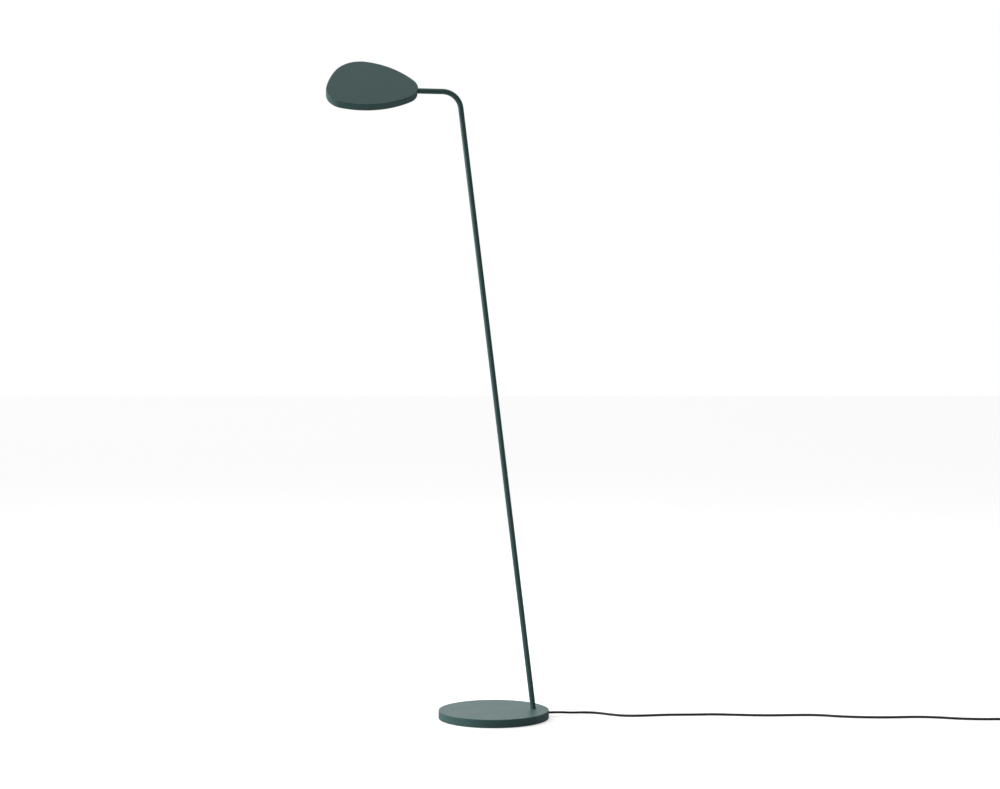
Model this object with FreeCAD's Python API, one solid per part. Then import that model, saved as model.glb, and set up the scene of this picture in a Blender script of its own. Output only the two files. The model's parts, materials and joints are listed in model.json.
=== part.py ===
import FreeCAD, Part
import math
import os

# Floor lamp with a leaf-shaped head on one bent tube and a round steel base.
# Millimetres, +Z up. The origin is the centre of the base on the floor. The arm and
# the head point along -X, the lead leaves the base along +X.

V = FreeCAD.Vector
ORIGIN = V(0, 0, 0)
X_AXIS = V(1, 0, 0)
Z_AXIS = V(0, 0, 1)

# ---- base ---------------------------------------------------------------------------
base_diameter = 205.0
base_height = 15.5
pad_standoff = 0.5
pad_thickness = 2.0
pad_rim = 4.0
base_top_round = 1.2
base_bottom_round = 0.6
pocket_ceiling = 9.6
pocket_inner_x = 54.0
pocket_half_width = 17.5
pocket_corner = 5.0
rim_wall = 8.5

# ---- stem: one bent tube ------------------------------------------------------------
stem_foot_x = 74.5
stem_lean = 6.95
tube_diameter = 10.0
tube_wall = 1.0
arm_height = 1159.0
arm_length = 75.9
bend_radius = 34.0
stem_bore_clearance = 0.1

# ---- foot plate under the base's top, and its screws --------------------------------
foot_plate_thickness = 3.0
foot_plate_inner_reach = 17.5
foot_plate_outer_reach = 8.0
foot_plate_half_width = 14.0
foot_plate_corner = 4.0
foot_screw_diameter = 4.0
foot_screw_inset = 4.0
foot_screw_grip = 3.5
foot_screw_head_diameter = 7.2
foot_screw_head_height = 2.4
screw_hole_clearance = 0.2
blind_hole_spare = 0.5

# ---- lead, its clamp and its grommet ------------------------------------------------
cord_diameter = 4.5
cord_exit_height = 7.2
grommet_wall = 1.25
grommet_collar_diameter = 9.2
grommet_collar = 1.3
clamp_length = 6.0
clamp_half_width = 9.0
clamp_bottom = 3.2
clamp_screw_diameter = 3.0
clamp_screw_y = 6.3
clamp_screw_grip = 3.0
clamp_screw_head_diameter = 5.4
clamp_screw_head_height = 2.0
sheath_past_clamp = 1.0
inner_lead_diameter = 2.6
inner_lead_floor = 4.0
inner_lead_bend = 2.4
inner_lead_straight = 1.6
inner_lead_drop = 3.4

# ---- pivot between the arm and the head ---------------------------------------------
# Places along the pivot are measured from the head's small end, positive towards the arm.
head_tilt = 52.0
spindle_diameter = 6.4
spindle_bore = 3.4
spindle_plug_length = 20.0
spindle_end_spare = 1.85
neck_washer_thickness = 0.8
neck_washer_diameter = 8.4
spot_face_depth = 0.5
spot_face_spare = 0.6
running_gap = 0.1
pivot_clearance = 0.04
wall_bore_clearance = 0.4
block_front = 6.0
block_length = 24.0
block_half_width = 7.2
block_bottom = 5.0
block_top_gap = 0.2
ear_half_width = 15.5
ear_front_gap = 3.5
ear_half_thickness = 1.0
block_screw_y = 12.0
block_screw_inset = 3.8
bush_wall = 1.0
bush_length = 6.0
bush_flange = 1.0
bush_flange_diameter = 10.0
thrust_washer_thickness = 0.8
thrust_washer_diameter = 9.8
spring_washer_height = 0.95
spring_washer_gauge = 0.4
spring_washer_diameter = 9.6
ring_thickness = 0.75
ring_groove_depth = 0.6
ring_diameter = 9.6
ring_mouth = 4.6
stack_gap = 0.05
stop_pin_diameter = 2.0
stop_pin_place = 4.2
stop_pin_reach = 5.0
stop_pin_root_wall = 0.2
stop_lug_half_width = 0.9
stop_lug_clearance = 0.5
stop_lug_length = 3.1
m25_diameter = 2.5
m25_head_diameter = 4.6
m25_head_height = 1.5
m25_grip = 3.6

# ---- head: leaf outline, a closed chain of six tangent arcs -------------------------
head_thickness = 15.0
head_length = 169.0
small_end_radius = 28.0
small_end_offset = 1.74
belly_station = 101.5
belly_reach = 67.94
belly_radius = 58.9
heel_offset = -8.66
heel_radius = 34.1
far_flank_radius = 142.0
tip_flank_radius = 129.7
near_flank_radius = 170.0
head_top_round = 1.2
head_bottom_round = 0.6
top_wall = 2.0
side_wall = 2.4
post_radius = 2.6
post_inset = 4.6
bezel_thickness = 1.5
bezel_recess = 0.3
bezel_clearance = 0.15
bezel_screw_depth = 5.0
countersink_depth = 1.15
light_inset = 11.5
light_start = 60.0
light_corner = 9.0
diffuser_lip = 2.2
diffuser_lip_thickness = 1.5
diffuser_clearance = 0.2
reflector_outer = 1.8
reflector_inner = 0.6
thermal_pad_thickness = 0.3
thermal_pad_grow = 1.2
led_board_thickness = 1.2
led_board_grow = 3.6
led_length = 3.0
led_width = 2.8
led_height = 0.7
led_pitch = 16.0
led_margin = 9.0

# ---- dimmer in the head -------------------------------------------------------------
dimmer_start = 39.0
dimmer_length = 16.0
dimmer_half_width = 14.0
dimmer_bottom = 0.8
dimmer_thickness = 1.6
dimmer_post_radius = 2.2
dimmer_post_step = 3.0
dimmer_post_y = 12.0
m2_diameter = 2.0
m2_head_diameter = 3.8
m2_head_height = 1.2
m2_grip = 2.5
switch_place = 47.0
switch_side = 6.0
switch_height = 3.2
switch_bore_depth = 2.0
plunger_diameter = 3.2
plunger_clearance = 0.05
plunger_inside = 1.2
plunger_outside = 1.0
button_diameter = 9.0
button_hole_clearance = 0.3
button_proud = 0.4
button_flange_diameter = 11.2
button_flange_thickness = 0.7
button_edge_round = 0.35
connector_size = V(6.0, 6.0, 3.6)
connector_y = 9.0
head_lead_diameter = 2.0
board_wire_diameter = 0.9
board_wire_y = 2.0
board_wire_bend = 0.7
head_lead_bend = 1.6
head_lead_gap = 0.5
head_lead_straight = 2.4

# ---- free lead: hand-laid route, coil and plug-in power supply ----------------------
cord_route = [
    (124.0, 0.0, cord_exit_height),
    (147.0, 4.0, 4.8),
    (171.0, 14.5, 3.0),
    (195.0, 11.5, 2.25),
    (216.0, -8.0, 2.25),
    (239.0, -27.0, 2.25),
    (275.0, -31.5, 2.25),
    (318.0, -28.5, 2.25),
    (365.0, -34.5, 2.25),
    (412.0, -37.0, 2.25),
    (458.0, -51.0, 2.25),
    (507.0, -63.5, 2.25),
    (560.0, -66.5, 2.25),
    (602.0, -73.0, 2.25),
    (634.0, -92.0, 2.25),
    (676.0, -106.5, 2.25),
    (724.0, -115.5, 2.25),
    (771.0, -116.5, 2.25),
    (809.0, -126.0, 2.25),
    (847.0, -146.5, 2.25),
    (888.0, -158.0, 2.25),
    (928.0, -161.5, 2.25),
    (962.0, -167.0, 2.5),
    (992.0, -166.0, 2.85),
]
coil_centre = V(992.0, -130.0, 0)
coil_middle_radius = 27.0
coil_half_columns = 2.5
coil_height = 8.4
coil_lift = 0.6
coil_round = 2.0
tie_gauge = 0.6
tie_half_width = 2.5
tail_route = [
    (1025.75, -130.0, 6.75),
    (1027.0, -114.0, 5.0),
    (1032.0, -99.5, 5.5),
    (1037.0, -86.0, 8.0),
    (1037.0, -72.0, 8.0),
]
relief_length = 22.0
relief_root_diameter = 9.0
relief_tip_wall = 0.8
adaptor_length = 66.0
adaptor_width = 44.0
adaptor_height = 28.0
adaptor_split = 14.0
adaptor_wall = 2.0
adaptor_round = 5.0
adaptor_board_height = 6.0
adaptor_board_thickness = 1.6
adaptor_board_margin = 1.0
transformer_size = V(24.0, 26.0, 14.0)
pin_diameter = 4.0
pin_length = 19.0
pin_spacing = 18.6
pin_root = 4.0
pin_root_diameter = 3.4
pin_neck = 0.5
pin_tip_round = 1.0
pin_place = 40.0

# ---- worked-out places --------------------------------------------------------------
lean = math.radians(stem_lean)
corner_x = stem_foot_x - (arm_height - base_height) * math.tan(lean)
head_x = corner_x - arm_length
base_radius = base_diameter / 2
pocket_outer_x = base_radius - rim_wall
foot_plate_bottom = pocket_ceiling - foot_plate_thickness
tube_bore = tube_diameter - 2 * tube_wall
cord_exit_x = base_radius + grommet_collar
cord_exit = (cord_exit_x, 0.0, cord_exit_height)
clamp_inner_x = pocket_outer_x - clamp_length
sheath_end_x = clamp_inner_x - sheath_past_clamp
neck_washer_inner = -spot_face_depth + running_gap
tube_end = neck_washer_inner + neck_washer_thickness
block_back = -block_front - block_length
ear_front = -block_front - ear_front_gap
thrust_front = block_back - bush_flange - stack_gap
thrust_back = thrust_front - thrust_washer_thickness
spring_back = thrust_back - stack_gap - spring_washer_height
ring_front = spring_back - stack_gap
ring_back = ring_front - ring_thickness
spindle_end = ring_back - spindle_end_spare
half_head = head_thickness / 2
head_ceiling = half_head - top_wall
bezel_low = bezel_recess - half_head
bezel_top = bezel_low + bezel_thickness
diffuser_top = bezel_top + diffuser_lip_thickness
led_board_top = head_ceiling - thermal_pad_thickness
led_board_low = led_board_top - led_board_thickness
bush_seat = spindle_diameter / 2 + bush_wall
ring_groove_diameter = spindle_diameter - 2 * ring_groove_depth
stop_pin_root = spindle_bore / 2 + stop_pin_root_wall
stop_lug_inner = spindle_diameter / 2 + stop_lug_clearance
dimmer_top = dimmer_bottom + dimmer_thickness
switch_low = dimmer_bottom - switch_height
plunger_low = switch_low - plunger_outside


# ---- helpers ------------------------------------------------------------------------
def save(node, shape):
    """Write one node and print its check line."""
    good = shape.isValid() and all(solid.isClosed() for solid in shape.Solids)
    print(f"{node:22s} solids {len(shape.Solids):3d}  volume {shape.Volume:12.1f}  ok {good}")
    shape.exportStep(f"parts/{node}.step")


def rod(diameter, start, end):
    """Solid cylinder from one point to another."""
    along = end - start
    return Part.makeCylinder(diameter / 2, along.Length, start, along)


def x_rod(diameter, x_from, x_to, y=0.0, z=0.0):
    """Solid cylinder along X."""
    return rod(diameter, V(min(x_from, x_to), y, z), V(max(x_from, x_to), y, z))


def z_rod(diameter, x, y, z_from, z_to):
    """Solid cylinder along Z."""
    return rod(diameter, V(x, y, min(z_from, z_to)), V(x, y, max(z_from, z_to)))


def block(low, high):
    """Box from its lowest corner to its highest."""
    size = high - low
    return Part.makeBox(size.x, size.y, size.z, low)


def upright_edges(shape):
    """The straight edges of a shape that run along Z."""
    straight = [edge for edge in shape.Edges if edge.Curve.TypeId == "Part::GeomLine"]
    return [edge for edge in straight if abs(edge.tangentAt(edge.FirstParameter).z) > 0.999]


def rounded_block(low, high, corner):
    """Box with rounded upright corners."""
    box = block(low, high)
    return box.makeFillet(corner, upright_edges(box))


def edges_at_z(shape, z):
    """Edges that lie in one level plane."""
    return [edge for edge in shape.Edges
            if abs(edge.BoundBox.ZMin - z) < 1e-4 and abs(edge.BoundBox.ZMax - z) < 1e-4]


def rounded_path(points, radius=None, report=None):
    """Straight runs joined by tangent arcs. With no radius, each arc is as large as its
    two runs allow: 0.45 of the shorter run over the tangent of half the turn."""
    edges = []
    radii = []
    last = points[0]
    for before, here, after in zip(points, points[1:], points[2:]):
        into = (here - before).normalize()
        out = (after - here).normalize()
        half_turn = into.getAngle(out) / 2
        shorter = min((here - before).Length, (after - here).Length)
        bend = radius or 0.45 * shorter / math.tan(half_turn)
        reach = bend * math.tan(half_turn)
        start = here - into * reach
        end = here + out * reach
        middle = here + (out - into).normalize() * (bend / math.cos(half_turn) - bend)
        edges.append(Part.LineSegment(last, start).toShape())
        edges.append(Part.Arc(start, middle, end).toShape())
        radii.append(round(bend, 1))
        last = end
    edges.append(Part.LineSegment(last, points[-1]).toShape())
    if report:
        print(report, "bend radii", radii)
    return Part.Wire(edges)


def swept(path, diameter):
    """Round bar along a path."""
    first = path.Edges[0]
    start = first.valueAt(first.FirstParameter)
    along = first.tangentAt(first.FirstParameter)
    circle = Part.Wire(Part.Circle(start, along, diameter / 2).toShape())
    bar = path.makePipeShell([circle], True, True)
    share = bar.Volume / (math.pi * diameter ** 2 / 4 * path.Length)
    if abs(share - 1) > 0.01:
        raise ValueError(f"swept volume is {share:.3f} of section times length")
    return bar


def stem_point(z):
    """Point on the leaning stem's axis at a height."""
    return V(stem_foot_x - (z - base_height) * math.tan(lean), 0, z)


def at_arm(shape):
    """Move a piece from the pivot's own place to the arm's end, not tilted."""
    return shape.translated(V(head_x, 0, arm_height))


def at_head(shape):
    """Tilt a head piece about the arm's axis and move it to the arm's end."""
    return at_arm(shape.rotated(ORIGIN, X_AXIS, head_tilt))


# ---- leaf outline -------------------------------------------------------------------
def flank_centre(first, first_radius, second, second_radius, radius):
    """Centre of the larger arc that holds two corner arcs inside it, on the left of the
    way from the first to the second."""
    along = second - first
    span = along.Length
    to_first = radius - first_radius
    to_second = radius - second_radius
    step = (to_first ** 2 - to_second ** 2 + span ** 2) / (2 * span)
    side = math.sqrt(to_first ** 2 - step ** 2)
    along.normalize()
    return first + along * step + V(-along.y, along.x, 0) * side


def leaf_arcs():
    """The outline's six (centre, radius) pairs in order round the head: small end, far
    flank, belly, tip flank, heel, near flank."""
    small = V(-small_end_radius, small_end_offset, 0)
    belly = V(-belly_station, belly_reach - belly_radius, 0)
    heel = V(heel_radius - head_length, heel_offset, 0)
    far = flank_centre(small, small_end_radius, belly, belly_radius, far_flank_radius)
    tip = flank_centre(belly, belly_radius, heel, heel_radius, tip_flank_radius)
    near = flank_centre(heel, heel_radius, small, small_end_radius, near_flank_radius)
    return [(small, small_end_radius), (far, far_flank_radius), (belly, belly_radius),
            (tip, tip_flank_radius), (heel, heel_radius), (near, near_flank_radius)]


def leaf_joints(inset):
    """The points where each arc of the inset outline starts."""
    arcs = leaf_arcs()
    joints = []
    for index, (centre, radius) in enumerate(arcs):
        before, before_radius = arcs[index - 1]
        if radius > before_radius:
            joints.append(centre + (before - centre).normalize() * (radius - inset))
        else:
            joints.append(before + (centre - before).normalize() * (before_radius - inset))
    return joints


def leaf_spot(arc, share, inset):
    """Point on one arc of the inset outline, at a share of its sweep."""
    centre, radius = leaf_arcs()[arc]
    joints = leaf_joints(inset)
    start = joints[arc] - centre
    end = joints[(arc + 1) % len(joints)] - centre
    angle = math.atan2(start.y, start.x)
    sweep = (math.atan2(end.y, end.x) - angle) % (2 * math.pi)
    angle += share * sweep
    return centre + V(math.cos(angle), math.sin(angle), 0) * (radius - inset)


def leaf_plate(inset, z_low, z_high):
    """Flat plate with the leaf outline, moved in from the head's edge."""
    joints = leaf_joints(inset)
    edges = []
    for arc, start in enumerate(joints):
        end = joints[(arc + 1) % len(joints)]
        edges.append(Part.Arc(start, leaf_spot(arc, 0.5, inset), end).toShape())
    face = Part.Face(Part.Wire(edges))
    return face.translated(V(0, 0, z_low)).extrude(V(0, 0, z_high - z_low))


def light_plate(grow, z_low, z_high):
    """Flat plate with the outline of the lit window, grown all round."""
    plate = leaf_plate(light_inset - grow, z_low, z_high)
    start = grow - light_start
    far = 2 * head_length
    plate = plate.common(block(V(-far, -far, z_low), V(start, far, z_high)))
    corners = [edge for edge in upright_edges(plate) if abs(edge.BoundBox.XMax - start) < 1e-3]
    return plate.makeFillet(light_corner + grow, corners)


# ---- base ---------------------------------------------------------------------------
foot_screws = [(x, y)
               for x in (stem_foot_x - foot_plate_inner_reach + foot_screw_inset,
                         stem_foot_x + foot_plate_outer_reach - foot_screw_inset)
               for y in (foot_screw_inset - foot_plate_half_width,
                         foot_plate_half_width - foot_screw_inset)]
clamp_screw_x = pocket_outer_x - clamp_length / 2
clamp_screws = [(clamp_screw_x, y) for y in (-clamp_screw_y, clamp_screw_y)]
foot_screw_top = pocket_ceiling + foot_screw_grip
clamp_screw_top = pocket_ceiling + clamp_screw_grip


def make_base():
    """Steel disc with a pocket underneath for the foot plate, the clamp and the lead."""
    plate = z_rod(base_diameter, 0, 0, pad_standoff, base_height)
    plate = plate.makeFillet(base_top_round, edges_at_z(plate, base_height))
    plate = plate.makeFillet(base_bottom_round, edges_at_z(plate, pad_standoff))
    plate = plate.cut(z_rod(base_diameter - 2 * pad_rim, 0, 0, 0, pad_thickness))
    pocket = rounded_block(V(pocket_inner_x, -pocket_half_width, 0),
                           V(pocket_outer_x, pocket_half_width, pocket_ceiling), pocket_corner)
    plate = plate.cut(pocket)
    bore = tube_diameter + 2 * stem_bore_clearance
    plate = plate.cut(rod(bore, stem_point(0), stem_point(2 * base_height)))
    plate = plate.cut(x_rod(cord_diameter + 2 * grommet_wall, clamp_inner_x, 2 * base_radius,
                            0, cord_exit_height))
    for x, y in foot_screws:
        plate = plate.cut(z_rod(foot_screw_diameter, x, y, 0, foot_screw_top + blind_hole_spare))
    for x, y in clamp_screws:
        plate = plate.cut(z_rod(clamp_screw_diameter, x, y, 0, clamp_screw_top + blind_hole_spare))
    save("base_plate", plate)
    save("foot_pad", z_rod(base_diameter - 2 * pad_rim, 0, 0, 0, pad_thickness))


def make_foot_plate():
    """Plate brazed to the tube's lower end, screwed to the base from below."""
    plate = rounded_block(
        V(stem_foot_x - foot_plate_inner_reach, -foot_plate_half_width, foot_plate_bottom),
        V(stem_foot_x + foot_plate_outer_reach, foot_plate_half_width, pocket_ceiling),
        foot_plate_corner)
    plate = plate.cut(rod(tube_diameter, stem_point(0), stem_point(base_height)))
    screws = []
    for x, y in foot_screws:
        hole = foot_screw_diameter + 2 * screw_hole_clearance
        plate = plate.cut(z_rod(hole, x, y, 0, base_height))
        head = z_rod(foot_screw_head_diameter, x, y,
                     foot_plate_bottom - foot_screw_head_height, foot_plate_bottom)
        screws.append(head.fuse(z_rod(foot_screw_diameter, x, y, foot_plate_bottom, foot_screw_top)))
    save("stem_foot_plate", plate)
    save("foot_screws", Part.makeCompound(screws))


def make_clamp():
    """Saddle that grips the lead's sheath inside the base, and its two screws."""
    clamp = block(V(clamp_inner_x, -clamp_half_width, clamp_bottom),
                  V(pocket_outer_x, clamp_half_width, pocket_ceiling))
    clamp = clamp.cut(x_rod(cord_diameter, 0, base_radius, 0, cord_exit_height))
    head_top = clamp_bottom + clamp_screw_head_height
    screws = []
    for x, y in clamp_screws:
        hole = clamp_screw_diameter + 2 * screw_hole_clearance
        clamp = clamp.cut(z_rod(hole, x, y, 0, base_height))
        seat = clamp_screw_head_diameter + 2 * screw_hole_clearance
        clamp = clamp.cut(z_rod(seat, x, y, 0, head_top))
        head = z_rod(clamp_screw_head_diameter, x, y, clamp_bottom, head_top)
        screws.append(head.fuse(z_rod(clamp_screw_diameter, x, y, head_top, clamp_screw_top)))
    save("cord_clamp", clamp)
    save("clamp_screws", Part.makeCompound(screws))


def make_grommet():
    """Rubber grommet in the rim, with a thin collar outside, and the sheath inside it."""
    sleeve = x_rod(cord_diameter + 2 * grommet_wall, pocket_outer_x, cord_exit_x, 0, cord_exit_height)
    collar = x_rod(grommet_collar_diameter, pocket_outer_x, cord_exit_x, 0, cord_exit_height)
    collar = collar.cut(z_rod(base_diameter, 0, 0, -base_height, 2 * base_height))
    grommet = sleeve.fuse(collar).cut(x_rod(cord_diameter, 0, 2 * base_radius, 0, cord_exit_height))
    save("cord_grommet", grommet)
    save("sheath_end", x_rod(cord_diameter, sheath_end_x, cord_exit_x, 0, cord_exit_height))


# ---- stem ---------------------------------------------------------------------------
def make_stem():
    """One tube: leaning stem, a bend, and the level arm."""
    corner = V(corner_x, 0, arm_height)
    arm_end = V(head_x + tube_end, 0, arm_height)
    outside = swept(rounded_path([stem_point(0), corner, arm_end], bend_radius), tube_diameter)
    past_end = arm_end - X_AXIS
    inside = swept(rounded_path([stem_point(-1), corner, past_end], bend_radius), tube_bore)
    below = block(V(0, -base_radius, -base_height), V(2 * base_radius, base_radius, foot_plate_bottom))
    save("stem_tube", outside.cut(inside).cut(below))
    lead = [V(sheath_end_x, 0, cord_exit_height),
            V(sheath_end_x - inner_lead_straight, 0, cord_exit_height),
            V(sheath_end_x - inner_lead_straight - inner_lead_drop, 0, inner_lead_floor),
            stem_point(inner_lead_floor)]
    in_base = rounded_path(lead + [stem_point(pocket_ceiling)], inner_lead_bend)
    in_stem = rounded_path([stem_point(pocket_ceiling), corner, V(head_x + spindle_end, 0, arm_height)],
                           bend_radius)
    save("inner_lead", swept(Part.Wire(in_base.Edges + in_stem.Edges), inner_lead_diameter))


# ---- pivot: pieces that stay with the arm -------------------------------------------
def make_arm_pivot():
    """Hollow spindle in the arm's end with its washers, ring and stop pin."""
    spindle = x_rod(spindle_diameter, spindle_end, tube_end)
    spindle = spindle.fuse(x_rod(tube_bore, tube_end, tube_end + spindle_plug_length))
    spindle = spindle.cut(x_rod(spindle_bore, spindle_end - 1, tube_end + spindle_plug_length + 1))
    groove = x_rod(spindle_diameter + 1, ring_back, ring_front)
    groove = groove.cut(x_rod(ring_groove_diameter, ring_back, ring_front))
    pin = z_rod(stop_pin_diameter, -stop_pin_place, 0, stop_pin_root, stop_pin_reach)
    save("arm_spindle", at_arm(spindle.cut(groove).cut(pin)))
    save("stop_pin", at_arm(pin))

    hole = spindle_diameter + stack_gap
    neck = x_rod(neck_washer_diameter, neck_washer_inner, tube_end)
    save("neck_washer", at_arm(neck.cut(x_rod(hole, -1, 1))))
    thrust = x_rod(thrust_washer_diameter, thrust_back, thrust_front)
    save("thrust_washer", at_arm(thrust.cut(x_rod(hole, spindle_end, 0))))

    inner = hole / 2
    outer = spring_washer_diameter / 2
    front = spring_back + spring_washer_height
    cone = Part.makePolygon([V(front - spring_washer_gauge, inner, 0), V(front, inner, 0),
                             V(spring_back + spring_washer_gauge, outer, 0),
                             V(spring_back, outer, 0),
                             V(front - spring_washer_gauge, inner, 0)])
    save("spring_washer", at_arm(Part.Face(cone).revolve(ORIGIN, X_AXIS, 360)))

    ring = x_rod(ring_diameter, ring_back, ring_front)
    ring = ring.cut(x_rod(ring_groove_diameter, ring_back, ring_front))
    mouth = block(V(ring_back, -ring_mouth / 2, -ring_diameter), V(ring_front, ring_mouth / 2, 0))
    save("retaining_ring", at_arm(ring.cut(mouth)))


# ---- pivot: pieces that turn with the head ------------------------------------------
block_screws = [(x, y)
                for x in (block_back + block_screw_inset, ear_front - block_screw_inset)
                for y in (-block_screw_y, block_screw_y)]


def make_pivot_block():
    """Bearing block with two ears, its stop lug, its bushes and its screws."""
    body = block(V(block_back, -block_half_width, -block_bottom),
                 V(-block_front, block_half_width, head_ceiling - block_top_gap))
    ears = block(V(block_back, -ear_half_width, -ear_half_thickness),
                 V(ear_front, ear_half_width, ear_half_thickness))
    lug = block(V(-block_front, -stop_lug_half_width, -block_bottom),
                V(stop_lug_length - block_front, stop_lug_half_width, -stop_lug_inner))
    bearing = body.fuse(ears)
    bearing = bearing.cut(x_rod(spindle_diameter + 2 * wall_bore_clearance, block_back, -block_front))
    seats = [(-block_front - bush_length, -block_front), (block_back, block_back + bush_length)]
    for low, high in seats:
        bearing = bearing.cut(x_rod(2 * bush_seat, low, high))
    bearing = bearing.fuse(lug)
    screws = []
    for x, y in block_screws:
        hole = m25_diameter + 2 * screw_hole_clearance
        bearing = bearing.cut(z_rod(hole, x, y, -block_bottom, block_bottom))
        head = z_rod(m25_head_diameter, x, y, -ear_half_thickness - m25_head_height, -ear_half_thickness)
        shank = z_rod(m25_diameter, x, y, -ear_half_thickness, ear_half_thickness + m25_grip)
        screws.append(head.fuse(shank))
    save("pivot_block", at_head(bearing))
    save("block_screws", at_head(Part.makeCompound(screws)))

    hole = spindle_diameter + 2 * pivot_clearance
    front_bush = x_rod(2 * bush_seat, *seats[0]).cut(x_rod(hole, *seats[0]))
    save("front_bush", at_head(front_bush))
    flange_back = block_back - bush_flange
    rear_bush = x_rod(2 * bush_seat, *seats[1])
    rear_bush = rear_bush.fuse(x_rod(bush_flange_diameter, flange_back, block_back))
    rear_bush = rear_bush.cut(x_rod(hole, flange_back, seats[1][1]))
    save("rear_bush", at_head(rear_bush))


# ---- head ---------------------------------------------------------------------------
bezel_screws = [leaf_spot(arc, share, post_inset)
                for arc, share in ((1, 0.12), (1, 0.95), (3, 0.1), (4, 0.45), (5, 0.3), (5, 0.93))]
dimmer_posts = [(-dimmer_start - dimmer_post_step, y) for y in (-dimmer_post_y, dimmer_post_y)]


def make_housing():
    """Leaf-shaped tray, open below, with posts for every screw."""
    shell = leaf_plate(0, -half_head, half_head)
    shell = shell.makeFillet(head_top_round, edges_at_z(shell, half_head))
    shell = shell.makeFillet(head_bottom_round, edges_at_z(shell, -half_head))
    outside = shell
    shell = shell.cut(leaf_plate(side_wall, -head_thickness, head_ceiling))
    posts = [z_rod(2 * post_radius, spot.x, spot.y, bezel_top, head_ceiling) for spot in bezel_screws]
    posts += [z_rod(2 * post_radius, x, y, ear_half_thickness, head_ceiling) for x, y in block_screws]
    posts += [z_rod(2 * dimmer_post_radius, x, y, dimmer_top, head_ceiling) for x, y in dimmer_posts]
    shell = shell.fuse(posts).common(outside)
    holes = [z_rod(m25_diameter, spot.x, spot.y, bezel_top, bezel_top + bezel_screw_depth)
             for spot in bezel_screws]
    holes += [z_rod(m25_diameter, x, y, 0, ear_half_thickness + m25_grip) for x, y in block_screws]
    holes += [z_rod(m2_diameter, x, y, dimmer_bottom, dimmer_top + m2_grip) for x, y in dimmer_posts]
    holes.append(x_rod(spindle_diameter + 2 * wall_bore_clearance, -block_front, 1))
    holes.append(x_rod(neck_washer_diameter + 2 * spot_face_spare, -spot_face_depth, head_thickness))
    save("head_housing", at_head(shell.cut(Part.makeCompound(holes))))


def make_underside():
    """Cover round the lit window, its countersunk screws, and the opal diffuser."""
    bezel = leaf_plate(side_wall + bezel_clearance, bezel_low, bezel_top)
    bezel = bezel.cut(light_plate(0, bezel_low - 1, bezel_top + 1))
    bezel = bezel.cut(z_rod(button_diameter + 2 * button_hole_clearance, -switch_place, 0,
                            bezel_low - 1, bezel_top + 1))
    screws = []
    for spot in bezel_screws:
        low = V(spot.x, spot.y, bezel_low)
        cone = Part.makeCone(m25_head_diameter / 2, m25_diameter / 2, countersink_depth, low)
        shank = z_rod(m25_diameter, spot.x, spot.y, bezel_low, bezel_top + bezel_screw_depth)
        bezel = bezel.cut(cone).cut(shank)
        screws.append(cone.fuse(shank))
    save("underside_cover", at_head(bezel))
    save("cover_screws", at_head(Part.makeCompound(screws)))

    diffuser = light_plate(diffuser_lip, bezel_top, diffuser_top)
    diffuser = diffuser.fuse(light_plate(-diffuser_clearance, bezel_low, bezel_top))
    save("diffuser", at_head(diffuser))
    frame = light_plate(reflector_outer, diffuser_top, led_board_low)
    frame = frame.cut(light_plate(reflector_inner, diffuser_top - 1, led_board_low + 1))
    save("reflector_frame", at_head(frame))


def make_light_source():
    """Thermal pad, aluminium LED board and the LEDs in a square grid."""
    save("thermal_pad", at_head(light_plate(thermal_pad_grow, led_board_top, head_ceiling)))
    save("led_board", at_head(light_plate(led_board_grow, led_board_low, led_board_top)))
    allowed = light_plate(reflector_inner - led_margin, led_board_low - 1, led_board_low)
    leds = []
    columns = int((head_length - light_start) / led_pitch)
    rows = int(belly_reach / led_pitch)
    for column in range(columns + 1):
        for row in range(-rows, rows + 1):
            x = -light_start - led_margin - column * led_pitch
            y = row * led_pitch + led_pitch / 2
            if allowed.isInside(V(x, y, led_board_low - 0.5), 1e-3, True):
                corner = V(x - led_length / 2, y - led_width / 2, led_board_low - led_height)
                leds.append(Part.makeBox(led_length, led_width, led_height, corner))
    save("leds", at_head(Part.makeCompound(leds)))


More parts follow.
